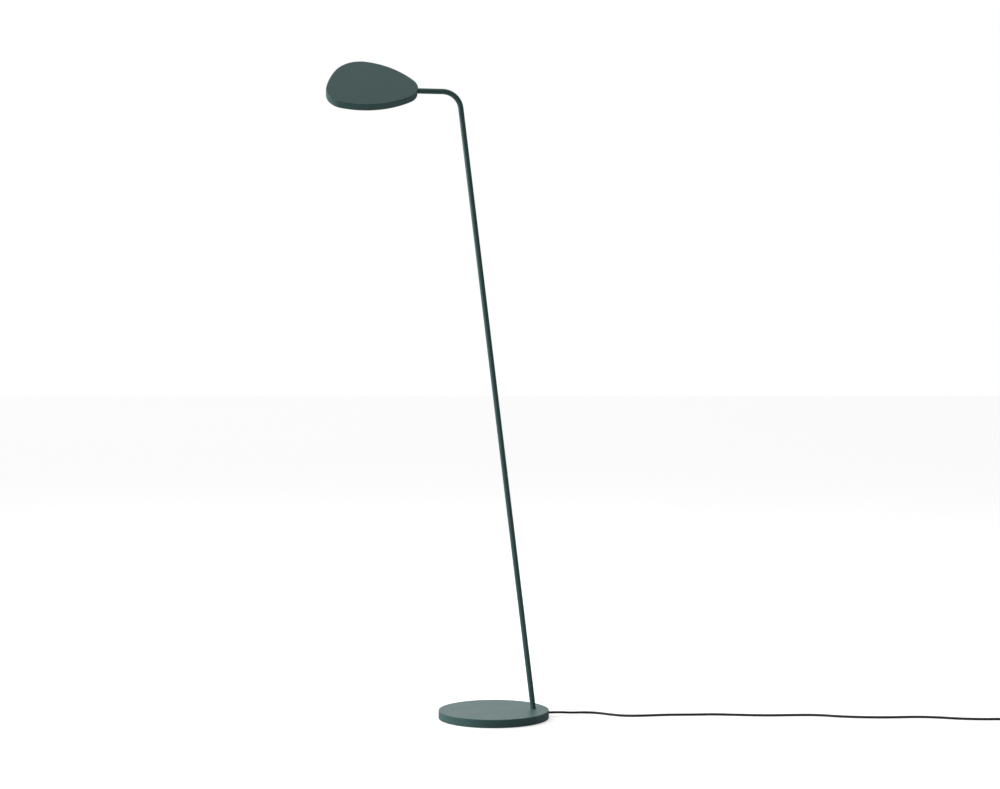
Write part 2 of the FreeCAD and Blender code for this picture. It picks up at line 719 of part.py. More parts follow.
def make_dimmer():
    """Dimmer board with its switch, plunger, push button, connector, wires and screws."""
    dimmer_end = -dimmer_start - dimmer_length
    board = block(V(dimmer_end, -dimmer_half_width, dimmer_bottom),
                  V(-dimmer_start, dimmer_half_width, dimmer_top))
    screws = []
    for x, y in dimmer_posts:
        hole = m2_diameter + 2 * screw_hole_clearance
        board = board.cut(z_rod(hole, x, y, dimmer_bottom, dimmer_top))
        head = z_rod(m2_head_diameter, x, y, dimmer_bottom - m2_head_height, dimmer_bottom)
        screws.append(head.fuse(z_rod(m2_diameter, x, y, dimmer_bottom, dimmer_top + m2_grip)))
    save("dimmer_board", at_head(board))
    save("dimmer_screws", at_head(Part.makeCompound(screws)))

    half = switch_side / 2
    switch = block(V(-switch_place - half, -half, switch_low),
                   V(half - switch_place, half, dimmer_bottom))
    bore = plunger_diameter + 2 * plunger_clearance
    switch = switch.cut(z_rod(bore, -switch_place, 0, switch_low, switch_low + switch_bore_depth))
    save("push_switch", at_head(switch))
    plunger = z_rod(plunger_diameter, -switch_place, 0, plunger_low, switch_low + plunger_inside)
    save("switch_plunger", at_head(plunger))

    flange_low = bezel_top + running_gap
    flange_top = flange_low + button_flange_thickness
    cap = z_rod(button_diameter, -switch_place, 0, -half_head - button_proud, flange_low)
    cap = cap.makeFillet(button_edge_round, edges_at_z(cap, -half_head - button_proud))
    cap = cap.fuse(z_rod(button_flange_diameter, -switch_place, 0, flange_low, flange_top))
    cap = cap.fuse(z_rod(plunger_diameter, -switch_place, 0, flange_top, plunger_low))
    save("dimmer_button", at_head(cap))

    low = V(dimmer_end + 1, connector_y - connector_size.y / 2, dimmer_bottom - connector_size.z)
    save("lead_connector", at_head(block(low, low + connector_size)))
    connector_x = low.x + connector_size.x
    lead_z = dimmer_bottom - connector_size.z / 2 - 0.4
    lead = [V(spindle_end - head_lead_gap, 0, 0), V(spindle_end - head_lead_straight, 0, 0),
            V(-dimmer_start - head_lead_straight, connector_y - head_lead_straight, lead_z),
            V(connector_x + head_lead_straight, connector_y, lead_z),
            V(connector_x, connector_y, lead_z)]
    save("head_lead", at_head(swept(rounded_path(lead, head_lead_bend), head_lead_diameter)))

    wires = []
    edge_x = (led_board_grow + reflector_outer) / 2 - light_start
    for y in (-board_wire_y, board_wire_y):
        middle = (dimmer_top + led_board_low) / 2
        start = V(dimmer_end + 1.5, y, dimmer_top)
        end = V(edge_x, y, led_board_low)
        path = rounded_path([start, V(start.x, y, middle), V(end.x, y, middle), end], board_wire_bend)
        wires.append(swept(path, board_wire_diameter))
    save("board_wires", at_head(Part.makeCompound(wires)))


# ---- free lead, coil and power supply -----------------------------------------------
def make_cord():
    """The lead on the floor, the wound-up rest of it, and the short tail."""
    lead = rounded_path([V(*point) for point in [cord_exit] + cord_route], report="cord_lead")
    save("cord_lead", swept(lead, cord_diameter))
    tail = rounded_path([V(*point) for point in tail_route], report="cord_tail")
    save("cord_tail", swept(tail, cord_diameter))
    print("lead", round(lead.Length), "tail", round(tail.Length))

    half_bundle = coil_half_columns * cord_diameter
    inner = coil_middle_radius - half_bundle
    outer = coil_middle_radius + half_bundle
    centre = coil_centre
    ring = z_rod(2 * outer, centre.x, centre.y, coil_lift, coil_lift + coil_height)
    ring = ring.cut(z_rod(2 * inner, centre.x, centre.y, 0, coil_height + 2 * coil_lift))
    ring = ring.makeFillet(coil_round, edges_at_z(ring, coil_lift + coil_height))
    save("cord_coil", ring)
    band = block(V(centre.x - outer - tie_gauge, centre.y - tie_half_width, coil_lift - tie_gauge),
                 V(centre.x - inner + tie_gauge, centre.y + tie_half_width,
                   coil_lift + coil_height + tie_gauge))
    save("coil_tie", band.cut(ring))


def make_power_supply():
    """Plug-in power supply: two housing halves, board, transformer, pins, strain relief."""
    end = V(*tail_route[-1])
    body_y = end.y + relief_length
    low = V(end.x - adaptor_width / 2, body_y, 0)
    high = V(end.x + adaptor_width / 2, body_y + adaptor_length, adaptor_height)
    wall = V(adaptor_wall, adaptor_wall, adaptor_wall)
    case = rounded_block(low, high, adaptor_round)
    case = case.cut(rounded_block(low + wall, high - wall, adaptor_round - adaptor_wall))
    case = case.cut(rod(relief_root_diameter, end, V(end.x, body_y + 2 * adaptor_wall, end.z)))
    pins = []
    holes = []
    for side in (-1, 1):
        x = end.x + side * pin_spacing / 2
        y = body_y + pin_place
        top = adaptor_height + pin_length
        root = z_rod(pin_root_diameter, x, y, adaptor_height - pin_root, adaptor_height + pin_neck)
        pin = z_rod(pin_diameter, x, y, adaptor_height + pin_neck, top)
        holes.append(root)
        pins.append(pin.makeFillet(pin_tip_round, edges_at_z(pin, top)).fuse(root))
    case = case.cut(Part.makeCompound(holes))
    split = V(0, 0, adaptor_split)
    far = V(adaptor_length, adaptor_length, adaptor_height)
    lower = case.common(block(low - far, V(high.x, high.y, 0) + split + V(1, 1, 0)))
    upper = case.common(block(V(low.x, low.y, 0) + split - V(1, 1, 0), high + far))
    save("supply_back", lower)
    save("supply_front", upper)
    save("plug_pins", Part.makeCompound(pins))

    inside = adaptor_wall + adaptor_board_margin
    board_low = V(low.x + inside, body_y + 3 * inside, adaptor_board_height)
    board_high = V(high.x - inside, high.y - inside, adaptor_board_height + adaptor_board_thickness)
    board = block(board_low, board_high)
    rests = [block(V(x, y, adaptor_wall), V(x + inside, y + inside, adaptor_board_height))
             for x in (board_low.x, board_high.x - inside)
             for y in (board_low.y, board_high.y - inside)]
    save("supply_board", board)
    save("supply_board_feet", Part.makeCompound(rests))
    core = V(end.x - transformer_size.x / 2, board_low.y + inside, board_high.z)
    save("supply_transformer", block(core, core + transformer_size))

    tip = cord_diameter + 2 * relief_tip_wall
    relief = Part.makeCone(tip / 2, relief_root_diameter / 2, relief_length, end, V(0, 1, 0))
    relief = relief.fuse(rod(relief_root_diameter, V(end.x, body_y, end.z),
                             V(end.x, body_y + adaptor_wall, end.z)))
    save("supply_relief", relief)


os.makedirs("parts", exist_ok=True)
make_base()
make_foot_plate()
make_clamp()
make_grommet()
make_stem()
make_arm_pivot()
make_pivot_block()
make_housing()
make_underside()
make_light_source()
make_dimmer()
make_cord()
make_power_supply()
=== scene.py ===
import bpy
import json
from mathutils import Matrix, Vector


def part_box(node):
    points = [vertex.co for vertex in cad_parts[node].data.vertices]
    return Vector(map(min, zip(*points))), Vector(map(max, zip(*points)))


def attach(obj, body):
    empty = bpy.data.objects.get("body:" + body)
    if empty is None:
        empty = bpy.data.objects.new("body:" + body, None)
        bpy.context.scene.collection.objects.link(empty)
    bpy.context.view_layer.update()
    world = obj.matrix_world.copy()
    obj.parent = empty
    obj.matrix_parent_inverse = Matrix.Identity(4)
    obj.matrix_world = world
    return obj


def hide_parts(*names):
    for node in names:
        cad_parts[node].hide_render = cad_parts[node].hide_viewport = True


bl_info = {
    "name": "Leaf head floor lamp",
    "version": (1, 0, 0),
    "blender": (4, 5, 0),
    "location": "3D View > Sidebar > Floor Lamp",
    "description": "Builds the finished surfaces of a floor lamp round its solid frame",
    "category": "Object",
}

import json
import math

import bpy
import numpy as np
from bpy.props import FloatProperty, FloatVectorProperty, IntProperty, PointerProperty
from mathutils import Matrix, Vector

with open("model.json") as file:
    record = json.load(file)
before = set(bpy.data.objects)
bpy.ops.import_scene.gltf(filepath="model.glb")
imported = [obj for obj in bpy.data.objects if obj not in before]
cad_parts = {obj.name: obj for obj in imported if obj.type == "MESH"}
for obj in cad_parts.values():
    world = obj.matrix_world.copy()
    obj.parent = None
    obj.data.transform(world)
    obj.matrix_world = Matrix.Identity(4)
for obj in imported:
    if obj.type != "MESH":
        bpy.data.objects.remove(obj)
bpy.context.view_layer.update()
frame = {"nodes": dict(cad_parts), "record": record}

MM = 0.001
FULL_TURN = 2 * math.pi
base_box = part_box("base_plate")
pad_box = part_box("foot_pad")
tube_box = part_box("stem_tube")
washer_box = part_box("neck_washer")
supply_box = (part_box("supply_back")[0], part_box("supply_front")[1])


# ---- settings -----------------------------------------------------------------------
def length(name, description, metres):
    """A length setting in metres."""
    return FloatProperty(name=name, description=description, default=metres, min=0.0,
                         precision=5, unit="LENGTH")


def angle(name, description, degrees):
    """An angle setting, given in degrees."""
    return FloatProperty(name=name, description=description, default=math.radians(degrees),
                         unit="ROTATION", subtype="ANGLE")


def colour(name, description, red, green, blue):
    """A linear colour setting."""
    return FloatVectorProperty(name=name, description=description, default=(red, green, blue),
                               size=3, min=0.0, max=1.0, subtype="COLOR")


class StandSizes(bpy.types.PropertyGroup):
    """Sizes of the base, the stem and the arm."""

    base_radius: length("Base radius", "Radius of the round base", base_box[1].x)
    base_low: length("Base underside", "Height of the base's lower edge", base_box[0].z)
    base_top: length("Base top", "Height of the base's top face", base_box[1].z)
    base_top_round: length("Base top round", "Round on the base's upper edge", 1.2 * MM)
    base_low_round: length("Base low round", "Round on the base's lower edge", 0.6 * MM)
    pad_radius: length("Pad radius", "Radius of the rubber pad", pad_box[1].x)
    pad_top: length("Pad top", "Height of the pad's top", pad_box[1].z)
    pad_groove: length("Pad groove", "Depth of the pad's grip grooves", 0.35 * MM)
    stem_foot_x: length("Stem place", "Place of the stem on the base's top", 74.5 * MM)
    stem_lean: angle("Stem lean", "Lean of the stem from upright", 6.95)
    stem_low: length("Stem's lower end", "Height of the tube's cut end", tube_box[0].z)
    tube_radius: length("Tube radius", "Outer radius of the tube", tube_box[1].y)
    tube_wall: length("Tube wall", "Thickness of the tube's wall", 1.0 * MM)
    arm_height: length("Arm height", "Height of the level arm's axis",
                       tube_box[1].z - tube_box[1].y)
    bend_radius: length("Bend radius", "Radius of the bend's middle line", 34.0 * MM)


class HeadSizes(bpy.types.PropertyGroup):
    """Sizes of the leaf-shaped head."""

    tilt: angle("Head tilt", "Turn of the head about the arm at rest", 52.0)
    thickness: length("Thickness", "Thickness of the head", 15.0 * MM)
    top_wall: length("Top wall", "Thickness of the head's top", 2.0 * MM)
    side_wall: length("Side wall", "Thickness of the head's side", 2.4 * MM)
    top_round: length("Top round", "Round on the head's upper edge", 1.2 * MM)
    low_round: length("Low round", "Round on the head's lower edge", 0.6 * MM)
    cover_gap: length("Cover gap", "Gap round the underside cover", 0.15 * MM)
    cover_recess: length("Cover recess", "How far the cover sits inside the edge", 0.3 * MM)
    cover_gauge: length("Cover gauge", "Thickness of the underside cover", 1.5 * MM)
    light_inset: length("Window inset", "Distance from the head's edge to the lit window",
                        11.5 * MM)
    light_start: length("Window start", "Distance from the small end to the lit window", 60.0 * MM)
    light_corner: length("Window corner", "Corner radius of the lit window", 9.0 * MM)
    button_place: length("Button place", "Distance from the small end to the button", 47.0 * MM)
    button_radius: length("Button radius", "Radius of the dimmer's button", 4.5 * MM)


class LeadSizes(bpy.types.PropertyGroup):
    """Sizes of the lead and of its power supply."""

    cord_diameter: length("Lead diameter", "Diameter of the lead's sheath", 4.5 * MM)
    cord_length: length("Lead length", "Length of the lead outside the base", 2.4)
    coil_radius: length("Coil radius", "Radius of the coil's middle turn", 27.0 * MM)
    coil_points: IntProperty(name="Points per turn", description="Points of the lead in one turn",
                             default=24, min=12)
    supply_corner: length("Supply corner", "Corner radius of the power supply", 5.0 * MM)
    supply_edge: length("Supply edge", "Round on the power supply's flat faces' edges", 1.6 * MM)
    supply_wall: length("Supply wall", "Wall thickness of the power supply", 2.0 * MM)
    supply_split: length("Parting height", "Height of the joint between the halves", 14.0 * MM)
    pin_radius: length("Pin radius", "Radius of the plug's pins", 2.0 * MM)
    pin_spacing: length("Pin spacing", "Distance between the pins", 18.6 * MM)


class LampColours(bpy.types.PropertyGroup):
    """Base colours of the lamp's finishes."""

    coat: colour("Powder coat", "Dark petrol powder coat", 0.070, 0.152, 0.144)
    rubber: colour("Rubber", "Pad, grommet and strain relief", 0.020, 0.020, 0.021)
    sheath: colour("Lead sheath", "Sheath of the lead", 0.030, 0.033, 0.033)
    plastic: colour("Black plastic", "Power supply and small mouldings", 0.025, 0.026, 0.027)
    white: colour("White plastic", "Reflector and connector", 0.80, 0.80, 0.78)
    opal: colour("Opal", "Diffuser of the lit window", 0.86, 0.86, 0.83)
    steel: colour("Steel", "Zinc plated steel", 0.55, 0.56, 0.57)
    aluminium: colour("Aluminium", "Machined aluminium", 0.62, 0.63, 0.64)
    brass: colour("Brass", "Turned bushes", 0.60, 0.45, 0.20)
    nickel: colour("Nickel", "Plating of the plug's pins", 0.70, 0.69, 0.66)
    board: colour("Board", "Solder mask of the circuit boards", 0.02, 0.12, 0.05)
    phosphor: colour("Phosphor", "Face of the light emitters", 0.85, 0.70, 0.22)
    floor: colour("Floor", "Pale studio floor", 0.88, 0.88, 0.88)


class StageSettings(bpy.types.PropertyGroup):
    """Camera, light and floor."""

    camera_x: length("Camera X", "Place of the camera along X", -0.4884)
    camera_y: length("Camera Y", "Place of the camera along Y", -3.3547)
    camera_z: length("Camera Z", "Height of the camera", 0.6406)
    camera_turn: angle("Camera turn", "Turn of the camera about Z", -8.482)
    camera_dip: angle("Camera dip", "How far the camera looks down", 0.677)
    lens: FloatProperty(name="Lens", description="Focal length in millimetres", default=65.844)
    front_light: FloatProperty(name="Front light", description="Brightness of the room in front",
                               default=0.085, min=0.0)
    back_light: FloatProperty(name="Back light", description="Brightness of the room behind",
                              default=1.0, min=0.0)
    top_light: FloatProperty(name="Top light", description="Brightness of the ceiling",
                             default=0.74, min=0.0)
    right_light: FloatProperty(name="Right light", description="Share of light from the right",
                               default=0.10, min=0.0)
    floor_bounce: FloatProperty(name="Floor bounce", description="Tone of the floor as a light",
                                default=0.40, min=0.0, max=1.0)
    floor_lift: FloatProperty(name="Floor lift", description="Light added where the floor shows",
                              default=0.57, min=0.0)


SETTINGS = {"lamp_stand": StandSizes, "lamp_head": HeadSizes, "lamp_lead": LeadSizes,
            "lamp_colours": LampColours, "lamp_stage": StageSettings}


# ---- profiles and outlines ----------------------------------------------------------
def eased(corners, radii, steps=6):
    """Open line through the corners, with an arc at each inner corner: point = centre +
    (start − centre) × cos t + direction × radius × sin t, for t from 0 to the turn."""
    corners = np.array(corners, float)
    parts = [corners[:1]]
    for before, here, after, radius in zip(corners, corners[1:], corners[2:], radii):
        into = (here - before) / np.linalg.norm(here - before)
        out = (after - here) / np.linalg.norm(after - here)
        turn = math.acos(np.clip(into @ out, -1, 1))
        if radius == 0 or turn < 1e-6:
            parts.append(here[None])
            continue
        start = here - into * radius * math.tan(turn / 2)
        inward = (out - into) / np.linalg.norm(out - into)
        centre = here + inward * radius / math.cos(turn / 2)
        t = np.linspace(0, turn, steps + 1)[:, None]
        parts.append(centre + (start - centre) * np.cos(t) + into * radius * np.sin(t))
    parts.append(corners[-1:])
    return np.concatenate(parts)


def arc_chain(centres, radii, count):
    """Closed outline of tangent arcs, anticlockwise: point = centre + radius × (cos a, sin a)
    at equal steps of length. Returns the points, their outward normals and each arc's
    first angle and sweep."""
    centres, radii = np.array(centres, float), np.array(radii, float)
    after, after_radii = np.roll(centres, -1, axis=0), np.roll(radii, -1)
    toward = np.where((radii > after_radii)[:, None], after - centres, centres - after)
    ends = np.arctan2(toward[:, 1], toward[:, 0])
    starts = np.roll(ends, 1)
    sweeps = (ends - starts) % FULL_TURN
    reached = np.concatenate([[0], np.cumsum(radii * sweeps)])
    along = np.arange(count) * reached[-1] / count
    arc = np.searchsorted(reached, along, side="right") - 1
    a = starts[arc] + (along - reached[arc]) / radii[arc]
    normals = np.stack([np.cos(a), np.sin(a)], 1)
    return centres[arc] + radii[arc, None] * normals, normals, starts, sweeps


def leaf_arcs():
    """Centres and radii of the head outline's six arcs: small end, far flank, belly, tip
    flank, heel, near flank. A flank's circle holds its two neighbours inside it."""
    small = np.array([-28.0, 1.74]) * MM
    belly = np.array([-101.5, 9.04]) * MM
    heel = np.array([-134.9, -8.66]) * MM
    corner_radii = {"small": 28.0 * MM, "belly": 58.9 * MM, "heel": 34.1 * MM}

    def flank(first, first_radius, second, second_radius, radius):
        """Centre of the circle: on the left of the way from the first to the second."""
        span = np.linalg.norm(second - first)
        way = (second - first) / span
        to_first, to_second = radius - first_radius, radius - second_radius
        step = (to_first ** 2 - to_second ** 2 + span ** 2) / (2 * span)
        left = np.array([-way[1], way[0]])
        return first + way * step + left * math.sqrt(to_first ** 2 - step ** 2)

    flank_radii = np.array([142.0, 129.7, 170.0]) * MM
    far = flank(small, corner_radii["small"], belly, corner_radii["belly"], flank_radii[0])
    tip = flank(belly, corner_radii["belly"], heel, corner_radii["heel"], flank_radii[1])
    near = flank(heel, corner_radii["heel"], small, corner_radii["small"], flank_radii[2])
    centres = [small, far, belly, tip, heel, near]
    radii = [corner_radii["small"], flank_radii[0], corner_radii["belly"], flank_radii[1],
             corner_radii["heel"], flank_radii[2]]
    return np.array(centres), np.array(radii)


def leaf_outline(count):
    """The head's outline seen along its thickness, with its small end at x = 0."""
    centres, radii = leaf_arcs()
    points, normals, _, _ = arc_chain(centres, radii, count)
    return points, normals


def leaf_spot(arc, share, inset):
    """Point at a share of one arc's sweep, moved in from the outline."""
    centres, radii = leaf_arcs()
    _, _, starts, sweeps = arc_chain(centres, radii, 8)
    a = starts[arc] + share * sweeps[arc]
    return centres[arc] + (radii[arc] - inset) * np.array([math.cos(a), math.sin(a)])


def window_outline(count, head):
    """Outline of the lit window: the leaf moved in, cut straight across at its start, with
    two round corners. The straight edge is an arc of a very large circle."""
    centres, radii = leaf_arcs()
    radii = radii - head.light_inset
    corner, cut = head.light_corner, -head.light_start
    x = cut - corner
    far_y = centres[1, 1] + math.sqrt((radii[1] - corner) ** 2 - (x - centres[1, 0]) ** 2)
    near_y = centres[5, 1] - math.sqrt((radii[5] - corner) ** 2 - (x - centres[5, 0]) ** 2)
    straight = 1000.0
    chain = [(cut - straight, 0.0), (x, far_y), *centres[1:], (x, near_y)]
    chain_radii = [straight, corner, *radii[1:], corner]
    points, normals, _, _ = arc_chain(chain, chain_radii, count)
    return points, normals


def box_outline(low, high, corner, count):
    """Outline of a flat rectangle with round corners; its straight sides are arcs of very
    large circles."""
    straight = 1000.0
    x0, y0, x1, y1 = low[0], low[1], high[0], high[1]
    mid_x, mid_y = (x0 + x1) / 2, (y0 + y1) / 2
    centres = [(x1 - straight, mid_y), (x1 - corner, y1 - corner), (mid_x, y1 - straight),
               (x0 + corner, y1 - corner), (x0 + straight, mid_y), (x0 + corner, y0 + corner),
               (mid_x, y0 + straight), (x1 - corner, y0 + corner)]
    points, normals, _, _ = arc_chain(centres, [straight, corner] * 4, count)
    return points, normals


# ---- surfaces -----------------------------------------------------------------------
def carried(outline, profile, middle=None, cap_rows=4):
    """Rings of a profile of (inset, height) pairs carried round an outline: point = outline
    point − inset × outward normal, at the height. With a middle, the first and the last
    ring shrink onto it, which closes the two ends."""
    points, normals = outline
    profile = np.asarray(profile, float)
    flat = points[None] - profile[:, 0, None, None] * normals[None]
    heights = profile[:, 1]
    if middle is not None:
        middle = np.asarray(middle, float)
        shares = np.linspace(0, 1, cap_rows + 1)[:-1, None, None]
        first = middle + (flat[0] - middle) * shares
        last = middle + (flat[-1] - middle) * shares[::-1]
        flat = np.concatenate([first, flat, last])
        heights = np.concatenate([np.full(cap_rows, heights[0]), heights,
                                  np.full(cap_rows, heights[-1])])
    z = np.broadcast_to(heights[:, None, None], flat.shape[:2] + (1,))
    return np.concatenate([flat, z], 2)


def turned(profile, sides):
    """Rings of a profile of (radius, height) pairs turned about Z: point = (radius × cos a,
    radius × sin a, height)."""
    profile = np.asarray(profile, float)
    a = np.arange(sides) * FULL_TURN / sides
    ring = np.stack([np.cos(a), np.sin(a), np.zeros(sides)], 1)
    return profile[:, 0, None, None] * ring + profile[:, 1, None, None] * np.array([0, 0, 1.0])


def laid_along(rings, start, direction):
    """The rings with their own Z turned to a direction and their origin moved to a start."""
    turn = np.array(Vector((0, 0, 1)).rotation_difference(Vector(direction)).to_matrix())
    return rings @ turn.T + np.asarray(start, float)


def rod(radius, start, end, sides=48, ease=0.0):
    """Rings of a solid rod from one point to another, with an eased edge at each end."""
    start, end = np.asarray(start, float), np.asarray(end, float)
    long = np.linalg.norm(end - start)
    profile = eased([(0, 0), (radius, 0), (radius, long), (0, long)], [ease, ease], 4)
    return laid_along(turned(profile, sides), start, end - start)


def shell(rings, looped=False):
    """Closed surface through rings of points: a face between each two neighbours of each
    two rings. looped joins the last ring to the first. Points that coincide are merged,
    faces that shrink to a line are dropped, and all faces turn outwards, by the sign of
    the volume that they enclose."""
    rows, columns = rings.shape[:2]
    row, column = np.meshgrid(np.arange(rows if looped else rows - 1), np.arange(columns),
                              indexing="ij")
    next_row, next_column = (row + 1) % rows, (column + 1) % columns
    quads = np.stack([row * columns + column, row * columns + next_column,
                      next_row * columns + next_column, next_row * columns + column], -1)
    flat = rings.reshape(-1, 3)
    _, first, merged = np.unique(np.round(flat, 8), axis=0, return_index=True,
                                 return_inverse=True)
    quads = merged.reshape(-1)[quads.reshape(-1, 4)]
    same = quads == np.roll(quads, -1, axis=1)
    whole = quads[~same.any(1)]
    single = same.sum(1) == 1
    triangles = quads[single][~same[single]].reshape(-1, 3)
    points = flat[first]
    corners = np.concatenate([whole[:, [0, 1, 2]], whole[:, [0, 2, 3]], triangles])
    a, b, c = (points[corners[:, k]] for k in range(3))
    if np.einsum("ij,ij->", a, np.cross(b, c)) < 0:
        whole, triangles = whole[:, ::-1], triangles[:, ::-1]
    return points, whole.tolist() + triangles.tolist()


def joined(*shells):
    """Several closed surfaces as one set of points and faces."""
    points, faces, offset = [], [], 0
    for part_points, part_faces in shells:
        points.append(part_points)
        faces += [[corner + offset for corner in face] for face in part_faces]
        offset += len(part_points)
    return np.concatenate(points), faces


def new_object(name, surface):
    """A mesh object at the origin."""
    points, faces = surface
    mesh = bpy.data.meshes.new(name)
    mesh.from_pydata(points.tolist(), [], faces)
    mesh.update()
    made = bpy.data.objects.new(name, mesh)
    bpy.context.scene.collection.objects.link(made)
    return made


def cut(made, surfaces, operation="DIFFERENCE"):
    """Take surfaces out of a piece one after another, or add them to it."""
    for surface in surfaces:
        tool = new_object("cutting_tool", surface)
        step = made.modifiers.new("cut", "BOOLEAN")
        step.operation, step.object, step.solver = operation, tool, "EXACT"
        bpy.context.view_layer.update()
        evaluated = made.evaluated_get(bpy.context.evaluated_depsgraph_get())
        result = bpy.data.meshes.new_from_object(evaluated)
        made.modifiers.clear()
        old = made.data
        made.data = result
        result.name = made.name
        bpy.data.meshes.remove(old)
        bpy.data.meshes.remove(tool.data)
        if not result.polygons:
            raise RuntimeError(f"a cut left nothing of {made.name}")


def finished(made, body, stands_for, finish, crease=32.0):
    """Smooth the piece except at creases, give it its finish, and tie it to the frame."""
    mesh = made.data
    mesh.shade_smooth()
    mesh.set_sharp_from_angle(angle=math.radians(crease))
    mesh.materials.clear()
    mesh.materials.append(finish)
    weighted = made.modifiers.new("face weighted normals", "WEIGHTED_NORMAL")
    weighted.keep_sharp = True
    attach(made, body)
    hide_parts(*stands_for)
    return made


# ---- shader node groups -------------------------------------------------------------
def node(tree, kind, place, values=None, **settings):
    """A node with its settings and the values of its unlinked inputs."""
    made = tree.nodes.new(kind)
    made.location = place
    for key, value in settings.items():
        setattr(made, key, value)
    for key, value in (values or {}).items():
        made.inputs[key].default_value = value
    return made


def math_node(tree, place, operation, first, second, third=None):
    """A math node; each term is a number or a socket."""
    made = node(tree, "ShaderNodeMath", place, operation=operation)
    for index, term in enumerate(term for term in (first, second, third) if term is not None):
        if isinstance(term, bpy.types.NodeSocket):
            tree.links.new(term, made.inputs[index])
        else:
            made.inputs[index].default_value = term
    return made.outputs[0]


def mix_colours(tree, place, share, first, second, blend="MIX"):
    """A colour mix; share is a number or a socket, the colours are sockets or tuples."""
    made = node(tree, "ShaderNodeMix", place, data_type="RGBA", blend_type=blend)
    for index, term in ((0, share), (6, first), (7, second)):
        socket = made.inputs[index]
        if isinstance(term, bpy.types.NodeSocket):
            tree.links.new(term, socket)
        else:
            socket.default_value = term
    return made.outputs[2]


def new_group(name, inputs, outputs):
    """An empty shader node group. inputs holds (name, kind, default), outputs (name, kind)."""
    tree = bpy.data.node_groups.new(name, "ShaderNodeTree")
    for label, kind, default in inputs:
        socket = tree.interface.new_socket(name=label, in_out="INPUT", socket_type=kind)
        if default is not None:
            socket.default_value = default
    for label, kind in outputs:
        tree.interface.new_socket(name=label, in_out="OUTPUT", socket_type=kind)
    given = node(tree, "NodeGroupInput", (-900, 0))
    result = node(tree, "NodeGroupOutput", (900, 0))
    return tree, given, result


NUMBER, COLOUR, VECTOR = "NodeSocketFloat", "NodeSocketColor", "NodeSocketVector"


def make_grain_group():
    """Fine grain with slow cloudy changes of tone, for coats, mouldings and rubber. The
    grain's size and the clouds' size are lengths; the spreads are shares."""
    tree, given, result = new_group(
        "Fine grain",
        [("Vector", VECTOR, None), ("Colour", COLOUR, (0.5, 0.5, 0.5, 1)),
         ("Grain Size", NUMBER, 0.0005), ("Cloud Size", NUMBER, 0.05),
         ("Tone Spread", NUMBER, 0.1), ("Roughness", NUMBER, 0.5),
         ("Roughness Spread", NUMBER, 0.1)],
        [("Colour", COLOUR), ("Roughness", NUMBER), ("Height", NUMBER)])
    size = math_node(tree, (-700, 100), "DIVIDE", 1.0, given.outputs["Grain Size"])
    cloud = math_node(tree, (-700, -150), "DIVIDE", 1.0, given.outputs["Cloud Size"])
    pebbles = node(tree, "ShaderNodeTexVoronoi", (-500, 250), feature="SMOOTH_F1",
                   values={"Smoothness": 0.7})
    specks = node(tree, "ShaderNodeTexNoise", (-500, 0), {"Detail": 3.0, "Roughness": 0.6})
    clouds = node(tree, "ShaderNodeTexNoise", (-500, -250), {"Detail": 2.0, "Roughness": 0.5})
    for texture, scale in ((pebbles, size), (specks, size), (clouds, cloud)):
        tree.links.new(given.outputs["Vector"], texture.inputs["Vector"])
        tree.links.new(scale, texture.inputs["Scale"])
    fine = math_node(tree, (-300, 0), "SUBTRACT", specks.outputs["Fac"], 0.5)
    slow = math_node(tree, (-300, -250), "SUBTRACT", clouds.outputs["Fac"], 0.5)
    both = math_node(tree, (-100, -100), "MULTIPLY_ADD", slow, 1.6, fine)
    tone = math_node(tree, (100, -100), "MULTIPLY_ADD", both, given.outputs["Tone Spread"], 1.0)
    shades = node(tree, "ShaderNodeCombineColor", (250, -100))
    for channel in range(3):
        tree.links.new(tone, shades.inputs[channel])
    toned = mix_colours(tree, (450, 100), 1.0, given.outputs["Colour"], shades.outputs[0],
                        "MULTIPLY")
    tree.links.new(toned, result.inputs["Colour"])
    rough = math_node(tree, (450, -150), "MULTIPLY_ADD", both, given.outputs["Roughness Spread"],
                      given.outputs["Roughness"])
    tree.links.new(rough, result.inputs["Roughness"])
    height = math_node(tree, (450, -350), "MULTIPLY_ADD", specks.outputs["Fac"], 0.5,
                       pebbles.outputs["Distance"])
    tree.links.new(height, result.inputs["Height"])
    return tree


def make_edge_group():
    """Handling marks on outer edges: the mask is the surface's sharpness broken up by
    noise, and the colour is lifted where the mask is high."""
    tree, given, result = new_group(
        "Edge wear",
        [("Vector", VECTOR, None), ("Colour", COLOUR, (0.5, 0.5, 0.5, 1)),
         ("Worn Colour", COLOUR, (0.7, 0.7, 0.7, 1)), ("Amount", NUMBER, 0.2)],
        [("Colour", COLOUR), ("Mask", NUMBER)])
    form = node(tree, "ShaderNodeNewGeometry", (-700, 200))
    edge = node(tree, "ShaderNodeMapRange", (-500, 200), {"From Min": 0.52, "From Max": 0.62})
    tree.links.new(form.outputs["Pointiness"], edge.inputs["Value"])
    patches = node(tree, "ShaderNodeTexNoise", (-500, -50), {"Scale": 140.0, "Detail": 4.0})
    tree.links.new(given.outputs["Vector"], patches.inputs["Vector"])
    broken = node(tree, "ShaderNodeMapRange", (-300, -50), {"From Min": 0.40, "From Max": 0.65})
    tree.links.new(patches.outputs["Fac"], broken.inputs["Value"])
    mask = math_node(tree, (-100, 100), "MULTIPLY", edge.outputs[0], broken.outputs[0])
    share = math_node(tree, (100, 100), "MULTIPLY", mask, given.outputs["Amount"])
    worn = mix_colours(tree, (300, 150), share, given.outputs["Colour"],
                       given.outputs["Worn Colour"])
    tree.links.new(worn, result.inputs["Colour"])
    tree.links.new(share, result.inputs["Mask"])
    return tree


